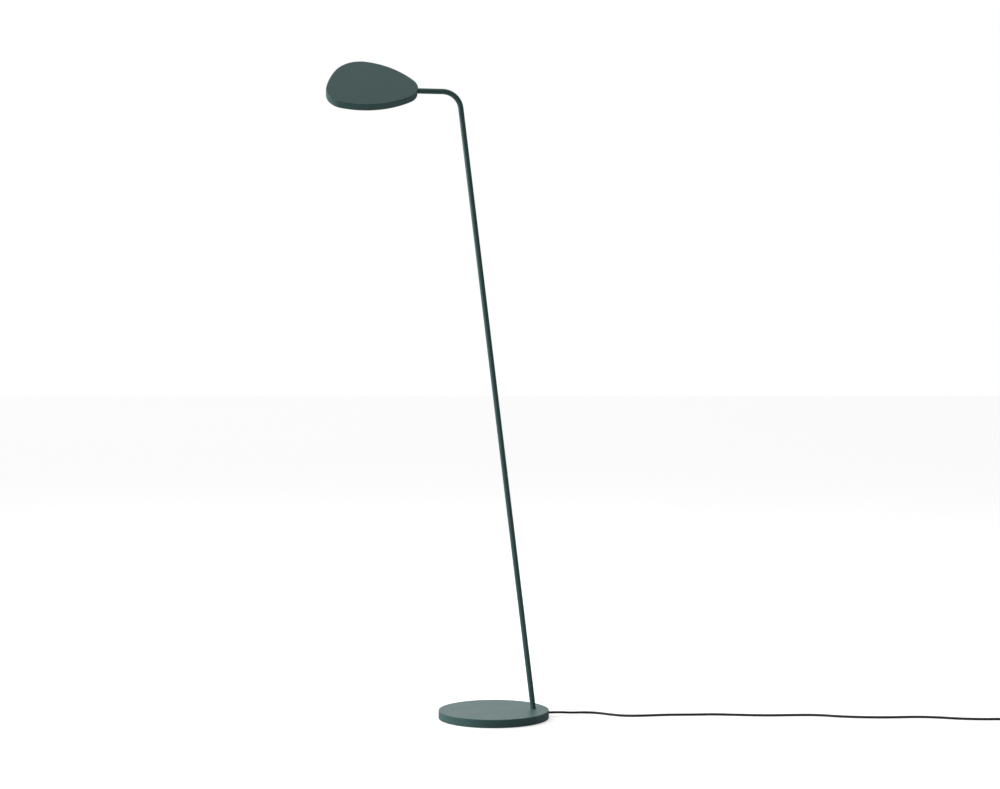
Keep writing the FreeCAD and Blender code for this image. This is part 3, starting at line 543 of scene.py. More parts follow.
def make_dust_group():
    """A thin film of dust on faces that look up at rest: it lightens the colour and makes
    the surface more matt, in soft patches with a few specks."""
    tree, given, result = new_group(
        "Settled dust",
        [("Vector", VECTOR, None), ("Normal", VECTOR, None), ("Colour", COLOUR, (0.5, 0.5, 0.5, 1)),
         ("Roughness", NUMBER, 0.5), ("Dust Colour", COLOUR, (0.55, 0.54, 0.51, 1)),
         ("Amount", NUMBER, 0.03)],
        [("Colour", COLOUR), ("Roughness", NUMBER)])
    parts = node(tree, "ShaderNodeSeparateXYZ", (-700, 200))
    tree.links.new(given.outputs["Normal"], parts.inputs[0])
    up = node(tree, "ShaderNodeMapRange", (-500, 200), {"From Min": 0.25, "From Max": 0.95})
    tree.links.new(parts.outputs["Z"], up.inputs["Value"])
    patches = node(tree, "ShaderNodeTexNoise", (-500, -50), {"Scale": 22.0, "Detail": 5.0})
    specks = node(tree, "ShaderNodeTexNoise", (-500, -300), {"Scale": 900.0, "Detail": 1.0})
    for texture in (patches, specks):
        tree.links.new(given.outputs["Vector"], texture.inputs["Vector"])
    sparse = node(tree, "ShaderNodeMapRange", (-300, -300), {"From Min": 0.62, "From Max": 0.75,
                                                           "To Max": 0.8})
    tree.links.new(specks.outputs["Fac"], sparse.inputs["Value"])
    film = math_node(tree, (-100, -100), "ADD", patches.outputs["Fac"], sparse.outputs[0])
    lying = math_node(tree, (100, 100), "MULTIPLY", film, up.outputs[0])
    share = math_node(tree, (250, 100), "MULTIPLY", lying, given.outputs["Amount"])
    dusty = mix_colours(tree, (450, 150), share, given.outputs["Colour"],
                        given.outputs["Dust Colour"])
    tree.links.new(dusty, result.inputs["Colour"])
    rough = math_node(tree, (450, -150), "MULTIPLY_ADD", share, 0.6, given.outputs["Roughness"])
    tree.links.new(rough, result.inputs["Roughness"])
    return tree


def make_tool_mark_group():
    """Fine parallel marks left by a tool, stretched along one direction, for bare metal."""
    tree, given, result = new_group(
        "Tool marks",
        [("Vector", VECTOR, None), ("Stretch", VECTOR, (1.0, 1.0, 1.0)),
         ("Mark Size", NUMBER, 0.0002), ("Roughness", NUMBER, 0.3),
         ("Roughness Spread", NUMBER, 0.15)],
        [("Roughness", NUMBER), ("Height", NUMBER)])
    scaled = node(tree, "ShaderNodeVectorMath", (-700, 100), operation="MULTIPLY")
    tree.links.new(given.outputs["Vector"], scaled.inputs[0])
    tree.links.new(given.outputs["Stretch"], scaled.inputs[1])
    size = math_node(tree, (-700, -150), "DIVIDE", 1.0, given.outputs["Mark Size"])
    marks = node(tree, "ShaderNodeTexNoise", (-450, 100), {"Detail": 4.0, "Roughness": 0.65})
    tree.links.new(scaled.outputs[0], marks.inputs["Vector"])
    tree.links.new(size, marks.inputs["Scale"])
    centred = math_node(tree, (-200, 100), "SUBTRACT", marks.outputs["Fac"], 0.5)
    rough = math_node(tree, (0, 0), "MULTIPLY_ADD", centred, given.outputs["Roughness Spread"],
                      given.outputs["Roughness"])
    tree.links.new(rough, result.inputs["Roughness"])
    tree.links.new(marks.outputs["Fac"], result.inputs["Height"])
    return tree


def group(name):
    """A shared node group, built the first time it is asked for."""
    makers = {"Fine grain": make_grain_group, "Edge wear": make_edge_group,
              "Settled dust": make_dust_group, "Tool marks": make_tool_mark_group}
    return bpy.data.node_groups.get(name) or makers[name]()


def with_alpha(rgb):
    """A colour setting as a node colour."""
    return (*rgb, 1.0)


# ---- finishes -----------------------------------------------------------------------
def new_finish(name, shader_values):
    """A material with its own Principled shader and object coordinates."""
    finish = bpy.data.materials.new(name)
    finish.use_nodes = True
    tree = finish.node_tree
    tree.nodes.clear()
    output = node(tree, "ShaderNodeOutputMaterial", (900, 0))
    shader = node(tree, "ShaderNodeBsdfPrincipled", (600, 0), shader_values)
    tree.links.new(shader.outputs[0], output.inputs[0])
    place = node(tree, "ShaderNodeTexCoord", (-900, 0))
    return finish, tree, shader, place


def raised(tree, shader, height, depth, strength=1.0, before=None):
    """A bump of a given depth that feeds the shader's normal."""
    bump = node(tree, "ShaderNodeBump", (350, -300), {"Strength": strength, "Distance": depth})
    tree.links.new(height, bump.inputs["Height"])
    if before:
        tree.links.new(before, bump.inputs["Normal"])
    tree.links.new(bump.outputs[0], shader.inputs["Normal"])
    return bump.outputs[0]


def grained(name, rgb, grain=0.0005, cloud=0.05, tone=0.10, roughness=0.5, spread=0.10,
            depth=0.00002, wear=0.0, worn=(0.5, 0.5, 0.5), dust=0.0, **shader_values):
    """A coat, moulding or rubber: fine grain, then edge wear, then dust."""
    values = {key.replace("_", " ").title(): value for key, value in shader_values.items()}
    if "Ior" in values:
        values["IOR"] = values.pop("Ior")
    if "Specular Ior Level" in values:
        values["Specular IOR Level"] = values.pop("Specular Ior Level")
    finish, tree, shader, place = new_finish(name, values)
    fine = node(tree, "ShaderNodeGroup", (-600, 0), node_tree=group("Fine grain"))
    for key, value in (("Colour", with_alpha(rgb)), ("Grain Size", grain), ("Cloud Size", cloud),
                       ("Tone Spread", tone), ("Roughness", roughness),
                       ("Roughness Spread", spread)):
        fine.inputs[key].default_value = value
    tree.links.new(place.outputs["Object"], fine.inputs["Vector"])
    tone_socket, rough_socket = fine.outputs["Colour"], fine.outputs["Roughness"]
    if wear:
        edges = node(tree, "ShaderNodeGroup", (-300, 100), {"Worn Colour": with_alpha(worn),
                                                           "Amount": wear},
                     node_tree=group("Edge wear"))
        tree.links.new(place.outputs["Object"], edges.inputs["Vector"])
        tree.links.new(tone_socket, edges.inputs["Colour"])
        tone_socket = edges.outputs["Colour"]
    if dust:
        film = node(tree, "ShaderNodeGroup", (0, 0), {"Amount": dust},
                    node_tree=group("Settled dust"))
        tree.links.new(place.outputs["Object"], film.inputs["Vector"])
        tree.links.new(place.outputs["Normal"], film.inputs["Normal"])
        tree.links.new(tone_socket, film.inputs["Colour"])
        tree.links.new(rough_socket, film.inputs["Roughness"])
        tone_socket, rough_socket = film.outputs["Colour"], film.outputs["Roughness"]
    tree.links.new(tone_socket, shader.inputs["Base Color"])
    tree.links.new(rough_socket, shader.inputs["Roughness"])
    raised(tree, shader, fine.outputs["Height"], depth)
    return finish


def machined(name, rgb, stretch, marks=0.0002, roughness=0.3, spread=0.15, depth=0.000004,
             tone=0.08):
    """Bare or plated metal with tool marks and a slightly clouded tone."""
    finish, tree, shader, place = new_finish(name, {"Metallic": 1.0})
    tooled = node(tree, "ShaderNodeGroup", (-600, -200), {"Stretch": stretch, "Mark Size": marks,
                                                         "Roughness": roughness,
                                                         "Roughness Spread": spread},
                  node_tree=group("Tool marks"))
    fine = node(tree, "ShaderNodeGroup", (-600, 100), {"Colour": with_alpha(rgb),
                                                      "Grain Size": 0.0012, "Cloud Size": 0.012,
                                                      "Tone Spread": tone},
                node_tree=group("Fine grain"))
    for made in (tooled, fine):
        tree.links.new(place.outputs["Object"], made.inputs["Vector"])
    tree.links.new(fine.outputs["Colour"], shader.inputs["Base Color"])
    tree.links.new(tooled.outputs["Roughness"], shader.inputs["Roughness"])
    raised(tree, shader, tooled.outputs["Height"], depth)
    return finish


def etched_board(name, rgb, copper):
    """A circuit board: solder mask over a pattern of copper runs and bare pads."""
    finish, tree, shader, place = new_finish(name, {"Coat Weight": 0.3, "Coat Roughness": 0.2})
    gap = [0.5 * part + 0.05 * pale for part, pale in zip(rgb, copper)]
    runs = node(tree, "ShaderNodeTexBrick", (-600, 100),
                {"Scale": 260.0, "Mortar Size": 0.012, "Color1": with_alpha(rgb),
                 "Color2": with_alpha([0.85 * part for part in rgb]), "Mortar": with_alpha(gap)})
    pads = node(tree, "ShaderNodeTexVoronoi", (-600, -250), {"Scale": 420.0, "Randomness": 0.6})
    for texture in (runs, pads):
        tree.links.new(place.outputs["Object"], texture.inputs["Vector"])
    dots = node(tree, "ShaderNodeMapRange", (-350, -250), {"From Min": 0.22, "From Max": 0.16})
    tree.links.new(pads.outputs["Distance"], dots.inputs["Value"])
    tone = mix_colours(tree, (-100, 50), dots.outputs[0], runs.outputs["Color"],
                       with_alpha(copper))
    tree.links.new(tone, shader.inputs["Base Color"])
    tree.links.new(dots.outputs[0], shader.inputs["Metallic"])
    rough = math_node(tree, (100, -100), "MULTIPLY_ADD", dots.outputs[0], -0.12, 0.42)
    tree.links.new(rough, shader.inputs["Roughness"])
    raised(tree, shader, runs.outputs["Fac"], 0.00003)
    return finish


def make_finish(slot, colours):
    """The finish for one material slot of the record."""
    coat = dict(grain=0.00042, cloud=0.06, tone=0.10, roughness=0.43, spread=0.08,
                depth=0.00003, wear=0.25, worn=(0.20, 0.28, 0.27), dust=0.02,
                specular_ior_level=0.29)
    makers = {
        "stand_paint": lambda: grained("stand_powder_coat", colours.coat, **coat),
        "head_paint": lambda: grained("head_powder_coat", colours.coat, **coat),
        "button_plastic": lambda: grained("button_moulding", colours.coat, grain=0.00025,
                                          cloud=0.01, tone=0.06, roughness=0.42, depth=0.00001),
        "black_rubber": lambda: grained("black_rubber", colours.rubber, grain=0.0006, cloud=0.03,
                                        tone=0.30, roughness=0.78, depth=0.00004, wear=0.3,
                                        worn=(0.10, 0.10, 0.10), dust=0.03),
        "grey_pad": lambda: grained("gap_filler", (0.35, 0.36, 0.38), grain=0.0008, cloud=0.01,
                                    tone=0.15, roughness=0.8, depth=0.00005),
        "plain_steel": lambda: machined("zinc_plated_steel", colours.steel, (1.0, 1.0, 0.15),
                                        roughness=0.36),
        "black_plastic": lambda: grained("black_moulding", colours.plastic, grain=0.0003,
                                         cloud=0.02, tone=0.15, roughness=0.55, depth=0.00002),
        "supply_plastic": lambda: grained("supply_moulding", colours.plastic, grain=0.0004,
                                          cloud=0.03, tone=0.18, roughness=0.50, spread=0.14,
                                          depth=0.00003, wear=0.35, worn=(0.09, 0.09, 0.09),
                                          dust=0.02),
        "white_plastic": lambda: grained("white_moulding", colours.white, grain=0.0003,
                                         cloud=0.02, tone=0.03, roughness=0.45, depth=0.00001),
        "cord_sheath": lambda: grained("lead_sheath", colours.sheath, grain=0.0007, cloud=0.04,
                                       tone=0.20, roughness=0.55, spread=0.12, depth=0.00003,
                                       dust=0.03),
        "opal_diffuser": lambda: grained("opal_diffuser", colours.opal, grain=0.0004, cloud=0.04,
                                         tone=0.02, roughness=0.36, spread=0.06, depth=0.000008,
                                         subsurface_weight=0.35, subsurface_scale=0.002),
        "circuit_board": lambda: etched_board("circuit_board", colours.board, (0.62, 0.42, 0.20)),
        "white_board": lambda: etched_board("white_board", (0.80, 0.80, 0.80),
                                            (0.72, 0.70, 0.62)),
        "pin_plating": lambda: machined("nickel_plated_pins", colours.nickel, (1.0, 1.0, 0.1),
                                        roughness=0.22, spread=0.10),
        "bare_aluminium": lambda: machined("machined_aluminium", colours.aluminium,
                                           (1.0, 0.08, 0.5), roughness=0.34),
        "bush_brass": lambda: machined("turned_brass", colours.brass, (0.1, 1.0, 1.0),
                                       roughness=0.28),
        "led_emitter": lambda: grained("emitter_phosphor", colours.phosphor, grain=0.0002,
                                       cloud=0.002, tone=0.12, roughness=0.4, depth=0.00001),
    }
    return makers[slot]()


def finish_for(slot):
    """A slot's finish, made the first time that it is asked for."""
    made = bpy.data.materials.get(f"finish_{slot}")
    if made is None:
        made = make_finish(slot, bpy.context.scene.lamp_colours)
        made.name = f"finish_{slot}"
    return made


# ---- places on the lamp -------------------------------------------------------------
def stem_point(stand, height):
    """Point on the leaning stem's axis."""
    return np.array([stand.stem_foot_x - (height - stand.base_top) * math.tan(stand.stem_lean),
                     0.0, height])


def head_place(head):
    """Matrix from the head's own coordinates, small end at the origin, to the arm's end."""
    middle = (washer_box[0] + washer_box[1]) / 2
    return Matrix.Translation(middle) @ Matrix.Rotation(head.tilt, 4, "X")


def cover_screw_spots():
    """Places of the six countersunk screws in the underside."""
    return [leaf_spot(arc, share, 4.6 * MM)
            for arc, share in ((1, 0.12), (1, 0.95), (3, 0.1), (4, 0.45), (5, 0.3), (5, 0.93))]


# ---- operators ----------------------------------------------------------------------
class LAMP_OT_camera(bpy.types.Operator):
    """Set up the camera that looks at the lamp from the front left"""

    bl_idname = "lamp.camera"
    bl_label = "Camera"

    def execute(self, context):
        stage = context.scene.lamp_stage
        data = bpy.data.cameras.new("lamp_camera")
        data.sensor_width = 36.0
        data.lens = stage.lens
        data.clip_end = 50.0
        camera = bpy.data.objects.new("lamp_camera", data)
        context.scene.collection.objects.link(camera)
        camera.location = (stage.camera_x, stage.camera_y, stage.camera_z)
        camera.rotation_euler = (math.pi / 2 - stage.camera_dip, 0.0, stage.camera_turn)
        context.scene.camera = camera
        return {"FINISHED"}


class LAMP_OT_lead(bpy.types.Operator):
    """Lay the lead on the floor, wind up its spare length and lead it into its power supply"""

    bl_idname = "lamp.lead"
    bl_label = "Lead"

    route = [
        (103.8, 0.0, 7.2), (124.0, 0.0, 7.2), (147.0, 4.0, 4.8), (171.0, 14.5, 3.0),
        (195.0, 11.5, 2.25), (216.0, -8.0, 2.25), (239.0, -27.0, 2.25), (275.0, -31.5, 2.25),
        (318.0, -28.5, 2.25), (365.0, -34.5, 2.25), (412.0, -37.0, 2.25), (458.0, -51.0, 2.25),
        (507.0, -63.5, 2.25), (560.0, -66.5, 2.25), (602.0, -73.0, 2.25), (634.0, -92.0, 2.25),
        (676.0, -106.5, 2.25), (724.0, -115.5, 2.25), (771.0, -116.5, 2.25),
        (809.0, -126.0, 2.25), (847.0, -146.5, 2.25), (888.0, -158.0, 2.25),
        (928.0, -161.5, 2.25), (962.0, -167.0, 2.5),
    ]
    tail = [(1027.0, -114.0, 5.0), (1032.0, -99.5, 5.5), (1037.0, -86.0, 8.0),
            (1037.0, -72.0, 8.0), (1037.0, -51.0, 8.0)]
    centre = (992.0, -130.0)
    turns = 8.25

    def coil(self, lead):
        """Points of the wound-up part. Five turns lie side by side on the floor from the
        outside in, then the lead climbs and the rest lie in their grooves from the inside
        out. A turn keeps its radius for most of the way round, then shifts by one column."""
        diameter, points = lead.cord_diameter / MM, lead.coil_points
        middle = lead.coil_radius / MM
        t = np.arange(round(self.turns * points) + 1) / points
        part, whole = t % 1.0, np.floor(t)

        def eased_step(x, start, end):
            """0 before the start, 1 after the end, a smooth rise in between."""
            share = np.clip((x - start) / (end - start), 0, 1)
            return share * share * (3 - 2 * share)

        low_column = np.minimum(whole + eased_step(part, 0.83, 1.0), 4)
        low_radius = middle + 2 * diameter - diameter * low_column
        climb = eased_step(t, 4.48, 4.78)
        high_turn = np.maximum(t - 4.8, 0)
        high_column = np.floor(high_turn) + eased_step(high_turn % 1.0, 0.0, 0.17)
        high_column = np.where(high_turn < 1, 0, high_column - 1)
        high_radius = middle - 1.5 * diameter + diameter * high_column
        out = eased_step(t, 4.62, 4.82)
        radius = low_radius + (high_radius - low_radius) * out
        layer = diameter * math.sqrt(3) / 2
        crossing = np.clip((part - 0.80) / 0.20, 0, 1)
        hump = 0.6 * np.sin(math.pi * crossing) ** 2 * (t > 4.8)
        height = 2.85 + layer * climb + hump
        turn = FULL_TURN * t - math.pi / 2
        return np.stack([self.centre[0] + radius * np.cos(turn),
                         self.centre[1] + radius * np.sin(turn), height], 1)

    def execute(self, context):
        lead = context.scene.lamp_lead
        points = np.concatenate([self.route, self.coil(lead), self.tail]) * MM
        curve = bpy.data.curves.new("lead", "CURVE")
        curve.dimensions = "3D"
        curve.bevel_depth = lead.cord_diameter / 2
        curve.bevel_resolution = 4
        curve.use_fill_caps = True
        spline = curve.splines.new("NURBS")
        spline.points.add(len(points) - 1)
        spline.points.foreach_set("co", np.column_stack([points, np.ones(len(points))]).ravel())
        spline.order_u = 3
        spline.use_endpoint_u = True
        spline.resolution_u = 8
        cord = bpy.data.objects.new("lead", curve)
        context.scene.collection.objects.link(cord)
        curve.materials.append(finish_for("cord_sheath"))
        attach(cord, "stand")
        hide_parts("cord_lead", "cord_coil", "cord_tail")
        return {"FINISHED"}


class LAMP_OT_coil_tie(bpy.types.Operator):
    """Wrap the hook and loop band round the coil"""

    bl_idname = "lamp.coil_tie"
    bl_label = "Coil tie"

    def execute(self, context):
        low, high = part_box("coil_tie")
        gauge = 0.6 * MM
        middle_y = (low.y + high.y) / 2
        half = (high.y - low.y) / 2
        outline = box_outline((low.x, low.z), (high.x, high.z), 2.4 * MM, 160)
        section = eased([(0.0, 0.0), (0.0, half), (gauge, half), (gauge, -half), (0.0, -half),
                         (0.0, 0.0)], [0.2 * MM] * 4, 3)[:-1]
        rings = carried(outline, section)
        band = shell(np.stack([rings[..., 0], middle_y + rings[..., 2], rings[..., 1]], 2), True)
        tab_outline = box_outline((low.x + 5 * MM, middle_y - half + 0.2 * MM),
                                  (low.x + 15 * MM, middle_y + half - 0.2 * MM), 1.2 * MM, 64)
        tab_top = high.z + 0.5 * MM
        tab_profile = eased([(1 * MM, high.z - 0.1 * MM), (0, high.z - 0.1 * MM), (0, tab_top),
                             (1 * MM, tab_top)], [0, 0.2 * MM], 3)
        tab = shell(carried(tab_outline, tab_profile, (low.x + 10 * MM, middle_y), 2))
        made = new_object("tie_band", joined(band, tab))
        finished(made, "stand", ["coil_tie"], finish_for("black_plastic"))
        return {"FINISHED"}


class LAMP_OT_stage(bpy.types.Operator):
    """Lay the pale floor and set the soft studio light"""

    bl_idname = "lamp.stage"
    bl_label = "Stage"

    def execute(self, context):
        scene = context.scene
        stage = scene.lamp_stage
        scene.view_settings.view_transform = "Standard"
        half = 60.0
        mesh = bpy.data.meshes.new("floor")
        mesh.from_pydata([(-half, -half, 0), (half, -half, 0), (half, half, 0), (-half, half, 0)],
                         [], [(0, 1, 2, 3)])
        floor = bpy.data.objects.new("floor", mesh)
        scene.collection.objects.link(floor)
        finish, tree, shader, place = new_finish("studio_floor", {"Roughness": 0.9})
        seen = node(tree, "ShaderNodeLightPath", (0, 0)).outputs["Is Camera Ray"]
        bounce = (stage.floor_bounce,) * 3
        tone = mix_colours(tree, (300, 0), seen, with_alpha(bounce),
                           with_alpha(scene.lamp_colours.floor))
        tree.links.new(tone, shader.inputs["Base Color"])
        shader.inputs["Emission Color"].default_value = with_alpha(scene.lamp_colours.floor)
        lift = math_node(tree, (300, -200), "MULTIPLY", seen, stage.floor_lift)
        tree.links.new(lift, shader.inputs["Emission Strength"])
        clear = node(tree, "ShaderNodeBsdfTransparent", (600, 200))
        side = node(tree, "ShaderNodeNewGeometry", (300, 300))
        one_sided = node(tree, "ShaderNodeMixShader", (800, 150))
        tree.links.new(side.outputs["Backfacing"], one_sided.inputs[0])
        tree.links.new(shader.outputs[0], one_sided.inputs[1])
        tree.links.new(clear.outputs[0], one_sided.inputs[2])
        output = next(made for made in tree.nodes if made.type == "OUTPUT_MATERIAL")
        tree.links.new(one_sided.outputs[0], output.inputs[0])
        tree.nodes.remove(place)
        mesh.materials.append(finish)
        self.make_room(scene, stage)
        for name, place, aim, size, power in (
                ("ceiling_softbox", (-0.2, 1.2, 3.4), (0.0, 0.0, 0.0), 3.2, 27.0),
                ("left_softbox", (-3.2, 0.2, 1.5), (0.0, 0.0, 0.8), 1.6, 62.0),
                ("right_softbox", (3.2, 0.9, 0.5), (0.0, 0.0, 0.2), 1.6, 5.0)):
            data = bpy.data.lights.new(name, "AREA")
            data.shape = "SQUARE"
            data.size = size
            data.energy = power
            lamp = bpy.data.objects.new(name, data)
            scene.collection.objects.link(lamp)
            lamp.location = place
            lamp.rotation_euler = (Vector(aim) - Vector(place)).to_track_quat("-Z", "Y").to_euler()
            lamp.visible_camera = False
        return {"FINISHED"}

    def make_room(self, scene, stage):
        """White walls: seen as plain white, but dimmer as a light on the side in front."""
        world = bpy.data.worlds.new("studio")
        scene.world = world
        world.use_nodes = True
        tree = world.node_tree
        tree.nodes.clear()
        way = node(tree, "ShaderNodeTexCoord", (-900, 0))
        parts = node(tree, "ShaderNodeSeparateXYZ", (-700, 0))
        tree.links.new(way.outputs["Generated"], parts.inputs[0])
        depth = node(tree, "ShaderNodeMapRange", (-500, 150),
                     {"From Min": -0.7, "From Max": 0.4, "To Min": stage.front_light,
                      "To Max": stage.back_light}, interpolation_type="SMOOTHSTEP")
        tree.links.new(parts.outputs["Y"], depth.inputs["Value"])
        rise = node(tree, "ShaderNodeMapRange", (-500, -150), {"From Min": 0.3, "From Max": 0.95},
                    interpolation_type="SMOOTHSTEP")
        tree.links.new(parts.outputs["Z"], rise.inputs["Value"])
        walls = math_node(tree, (-300, 150), "SUBTRACT", stage.top_light, depth.outputs[0])
        level = math_node(tree, (-100, 50), "MULTIPLY_ADD", walls, rise.outputs[0],
                          depth.outputs[0])
        right = node(tree, "ShaderNodeMapRange", (-500, -400),
                     {"From Min": 0.1, "From Max": 0.6, "To Min": 1.0,
                      "To Max": stage.right_light}, interpolation_type="SMOOTHSTEP")
        tree.links.new(parts.outputs["X"], right.inputs["Value"])
        uneven = math_node(tree, (0, 0), "MULTIPLY", level, right.outputs[0])
        dim = node(tree, "ShaderNodeBackground", (150, 100), {"Color": (1, 1, 1, 1)})
        tree.links.new(uneven, dim.inputs["Strength"])
        seen = node(tree, "ShaderNodeBackground", (150, -100), {"Color": (1, 1, 1, 1),
                                                              "Strength": 1.0})
        ray = node(tree, "ShaderNodeLightPath", (150, 300))
        both = node(tree, "ShaderNodeMixShader", (400, 0))
        tree.links.new(ray.outputs["Is Camera Ray"], both.inputs[0])
        tree.links.new(dim.outputs[0], both.inputs[1])
        tree.links.new(seen.outputs[0], both.inputs[2])
        output = node(tree, "ShaderNodeOutputWorld", (600, 0))
        tree.links.new(both.outputs[0], output.inputs[0])


class LAMP_OT_base(bpy.types.Operator):
    """Turn the steel base with its pocket, and its rubber pad"""

    bl_idname = "lamp.base"
    bl_label = "Base and pad"

    def execute(self, context):
        stand = context.scene.lamp_stand
        radius, low, top = stand.base_radius, stand.base_low, stand.base_top
        recess = stand.pad_top
        corners = [(0, recess), (stand.pad_radius, recess), (stand.pad_radius, low), (radius, low),
                   (radius, top), (0, top)]
        wall = eased(corners, [0.1 * MM, 0.2 * MM, stand.base_low_round, stand.base_top_round], 8)
        rings = np.concatenate([wall[:-1], [(radius - 1.6 * MM, top), (0.6 * radius, top),
                                            (0, top)]])
        plate = new_object("base_disc", shell(turned(rings, 288)))
        half_width, ceiling, below = 17.5 * MM, 9.6 * MM, -5 * MM
        pocket = box_outline((54 * MM, -half_width), (94 * MM, half_width), 5 * MM, 96)
        pocket_wall = eased([(3 * MM, below), (0, below), (0, ceiling), (3 * MM, ceiling)],
                            [0, 0.3 * MM], 3)
        foot_screws = [(stand.stem_foot_x + x * MM, y * MM)
                       for x in (-13.5, 4.0) for y in (-10.0, 10.0)]
        clamp_screws = [(91 * MM, -6.3 * MM), (91 * MM, 6.3 * MM)]
        holes = [rod(2.0 * MM, (x, y, 0), (x, y, 13.6 * MM), 24) for x, y in foot_screws]
        holes += [rod(1.5 * MM, (x, y, 0), (x, y, 13.1 * MM), 24) for x, y in clamp_screws]
        exit_height, sleeve = 7.2 * MM, 3.5 * MM
        cut(plate, [shell(carried(pocket, pocket_wall, (74 * MM, 0.0))),
                    shell(rod(stand.tube_radius + 0.1 * MM, stem_point(stand, 0.0),
                              stem_point(stand, 0.03), 64)),
                    shell(rod(sleeve, (88 * MM, 0, exit_height), (0.11, 0, exit_height), 48)),
                    joined(*[shell(rings) for rings in holes])])
        finished(plate, "stand", ["base_plate"], finish_for("stand_paint"))

        # Grip grooves: depth × clipped cosine of the radius, between two plain bands.
        groove, step = stand.pad_groove, 6.0 * MM
        first_groove, last_groove = 18 * MM, 94 * MM
        r = np.linspace(0.0, stand.pad_radius - 1.0 * MM, 400)
        inside = (r > first_groove) & (r < last_groove)
        wave = np.clip(2.2 * np.cos(FULL_TURN * r / step) - 1.2, 0, 1)
        underside = np.stack([r, np.where(inside, groove * wave, 0.0)], 1)
        edge = eased([(stand.pad_radius - 1.0 * MM, 0), (stand.pad_radius, 0),
                      (stand.pad_radius, stand.pad_top), (0, stand.pad_top)],
                     [0.4 * MM, 0.1 * MM], 4)
        pad = new_object("floor_pad", shell(turned(np.concatenate([underside, edge[1:]]), 192)))
        finished(pad, "stand", ["foot_pad"], finish_for("black_rubber"))
        return {"FINISHED"}


class LAMP_OT_grommet(bpy.types.Operator):
    """Fit the rubber grommet in the base's rim, its collar shaped to the rim"""

    bl_idname = "lamp.grommet"
    bl_label = "Grommet"

    def execute(self, context):
        stand, lead = context.scene.lamp_stand, context.scene.lamp_lead
        low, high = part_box("cord_grommet")
        inner, sleeve = lead.cord_diameter / 2, 3.5 * MM
        collar = (high.z - low.z) / 2
        rim = stand.base_radius
        profile = eased([(inner, low.x), (sleeve, low.x), (sleeve, rim), (collar, rim),
                         (collar, high.x), (inner, high.x), (inner, low.x)],
                        [0, 0, 0, 0.7 * MM, 0.35 * MM], 6)[:-1]
        rings = turned(profile, 96)
        height = rings[..., 2]
        on_rim = np.isclose(profile[:, 1], rim)[:, None]
        curved = np.sqrt(rim ** 2 - rings[..., 1] ** 2)
        x = np.where(on_rim, curved, height)
        axis = (low.z + high.z) / 2
        placed_rings = np.stack([x, rings[..., 1], axis + rings[..., 0]], 2)
        made = new_object("rim_grommet", shell(placed_rings, True))
        finished(made, "stand", ["cord_grommet"], finish_for("black_rubber"))
        return {"FINISHED"}


class LAMP_OT_stem(bpy.types.Operator):
    """Bend the tube: the leaning stem, one bend and the level arm"""

    bl_idname = "lamp.stem"
    bl_label = "Stem and arm"

    def middle_line(self, stand, end_x):
        """Points of the tube's middle line and its directions: straight, arc, straight."""
        lean, bend = stand.stem_lean, stand.bend_radius
        corner_x = stem_point(stand, stand.arm_height)[0]
        corner = np.array([corner_x, stand.arm_height])
        up = np.array([-math.sin(lean), math.cos(lean)])
        turn = math.pi / 2 - lean
        reach = bend * math.tan(turn / 2)
        bend_start = corner - up * reach
        bend_end = corner + np.array([-reach, 0])
        foot = stem_point(stand, stand.stem_low)[[0, 2]]
        centre = bend_start + bend * np.array([-up[1], up[0]])
        s = np.linspace(0, 1, 49)[:, None]
        stem = foot + (bend_start - foot) * s
        t = np.linspace(0, turn, 33)[1:, None]
        arc = centre + (bend_start - centre) * np.cos(t) + up * bend * np.sin(t)
        u = np.linspace(0, 1, 9)[1:, None]
        arm = bend_end + (np.array([end_x, stand.arm_height]) - bend_end) * u
        points = np.concatenate([stem, arc, arm])
        stem_way = np.repeat(up[None], len(stem), 0)
        arc_way = up * np.cos(t) + np.array([-up[1], up[0]]) * np.sin(t)
        arm_way = np.repeat([[-1.0, 0.0]], len(arm), 0)
        return points, np.concatenate([stem_way, arc_way, arm_way])

    def execute(self, context):
        stand = context.scene.lamp_stand
        end_x = tube_box[0].x
        points, ways = self.middle_line(stand, end_x)
        sides = 64
        a = np.arange(sides) * FULL_TURN / sides
        across = np.stack([ways[:, 1], -ways[:, 0]], 1)

        def ring_at(index, radius, shift=0.0):
            """Ring of the tube's section at a point of the middle line."""
            flat = (points[index] + ways[index] * shift)[..., None, :]
            flat = flat + radius * np.cos(a)[:, None] * across[index][..., None, :]
            y = np.broadcast_to(radius * np.sin(a)[:, None], flat.shape[:-1] + (1,))
            return np.concatenate([flat[..., :1], y, flat[..., 1:]], -1)

        outer, inner = stand.tube_radius, stand.tube_radius - stand.tube_wall
        ease = 0.2 * MM
        every = np.arange(len(points))
        rings = np.concatenate([
            ring_at(every[:-1], outer), ring_at(every[-1:], outer, -ease),
            ring_at(every[-1:], outer - ease), ring_at(every[-1:], inner),
            ring_at(every[:-1], inner)[::-1]])
        foot_way = ways[0]
        for row in (0, -1):
            lift = (stand.stem_low - rings[row, :, 2]) / foot_way[1]
            rings[row, :, 0] += lift * foot_way[0]
            rings[row, :, 2] += lift * foot_way[1]
        made = new_object("bent_tube", shell(rings, True))
        finished(made, "stand", ["stem_tube"], finish_for("stand_paint"))
        return {"FINISHED"}


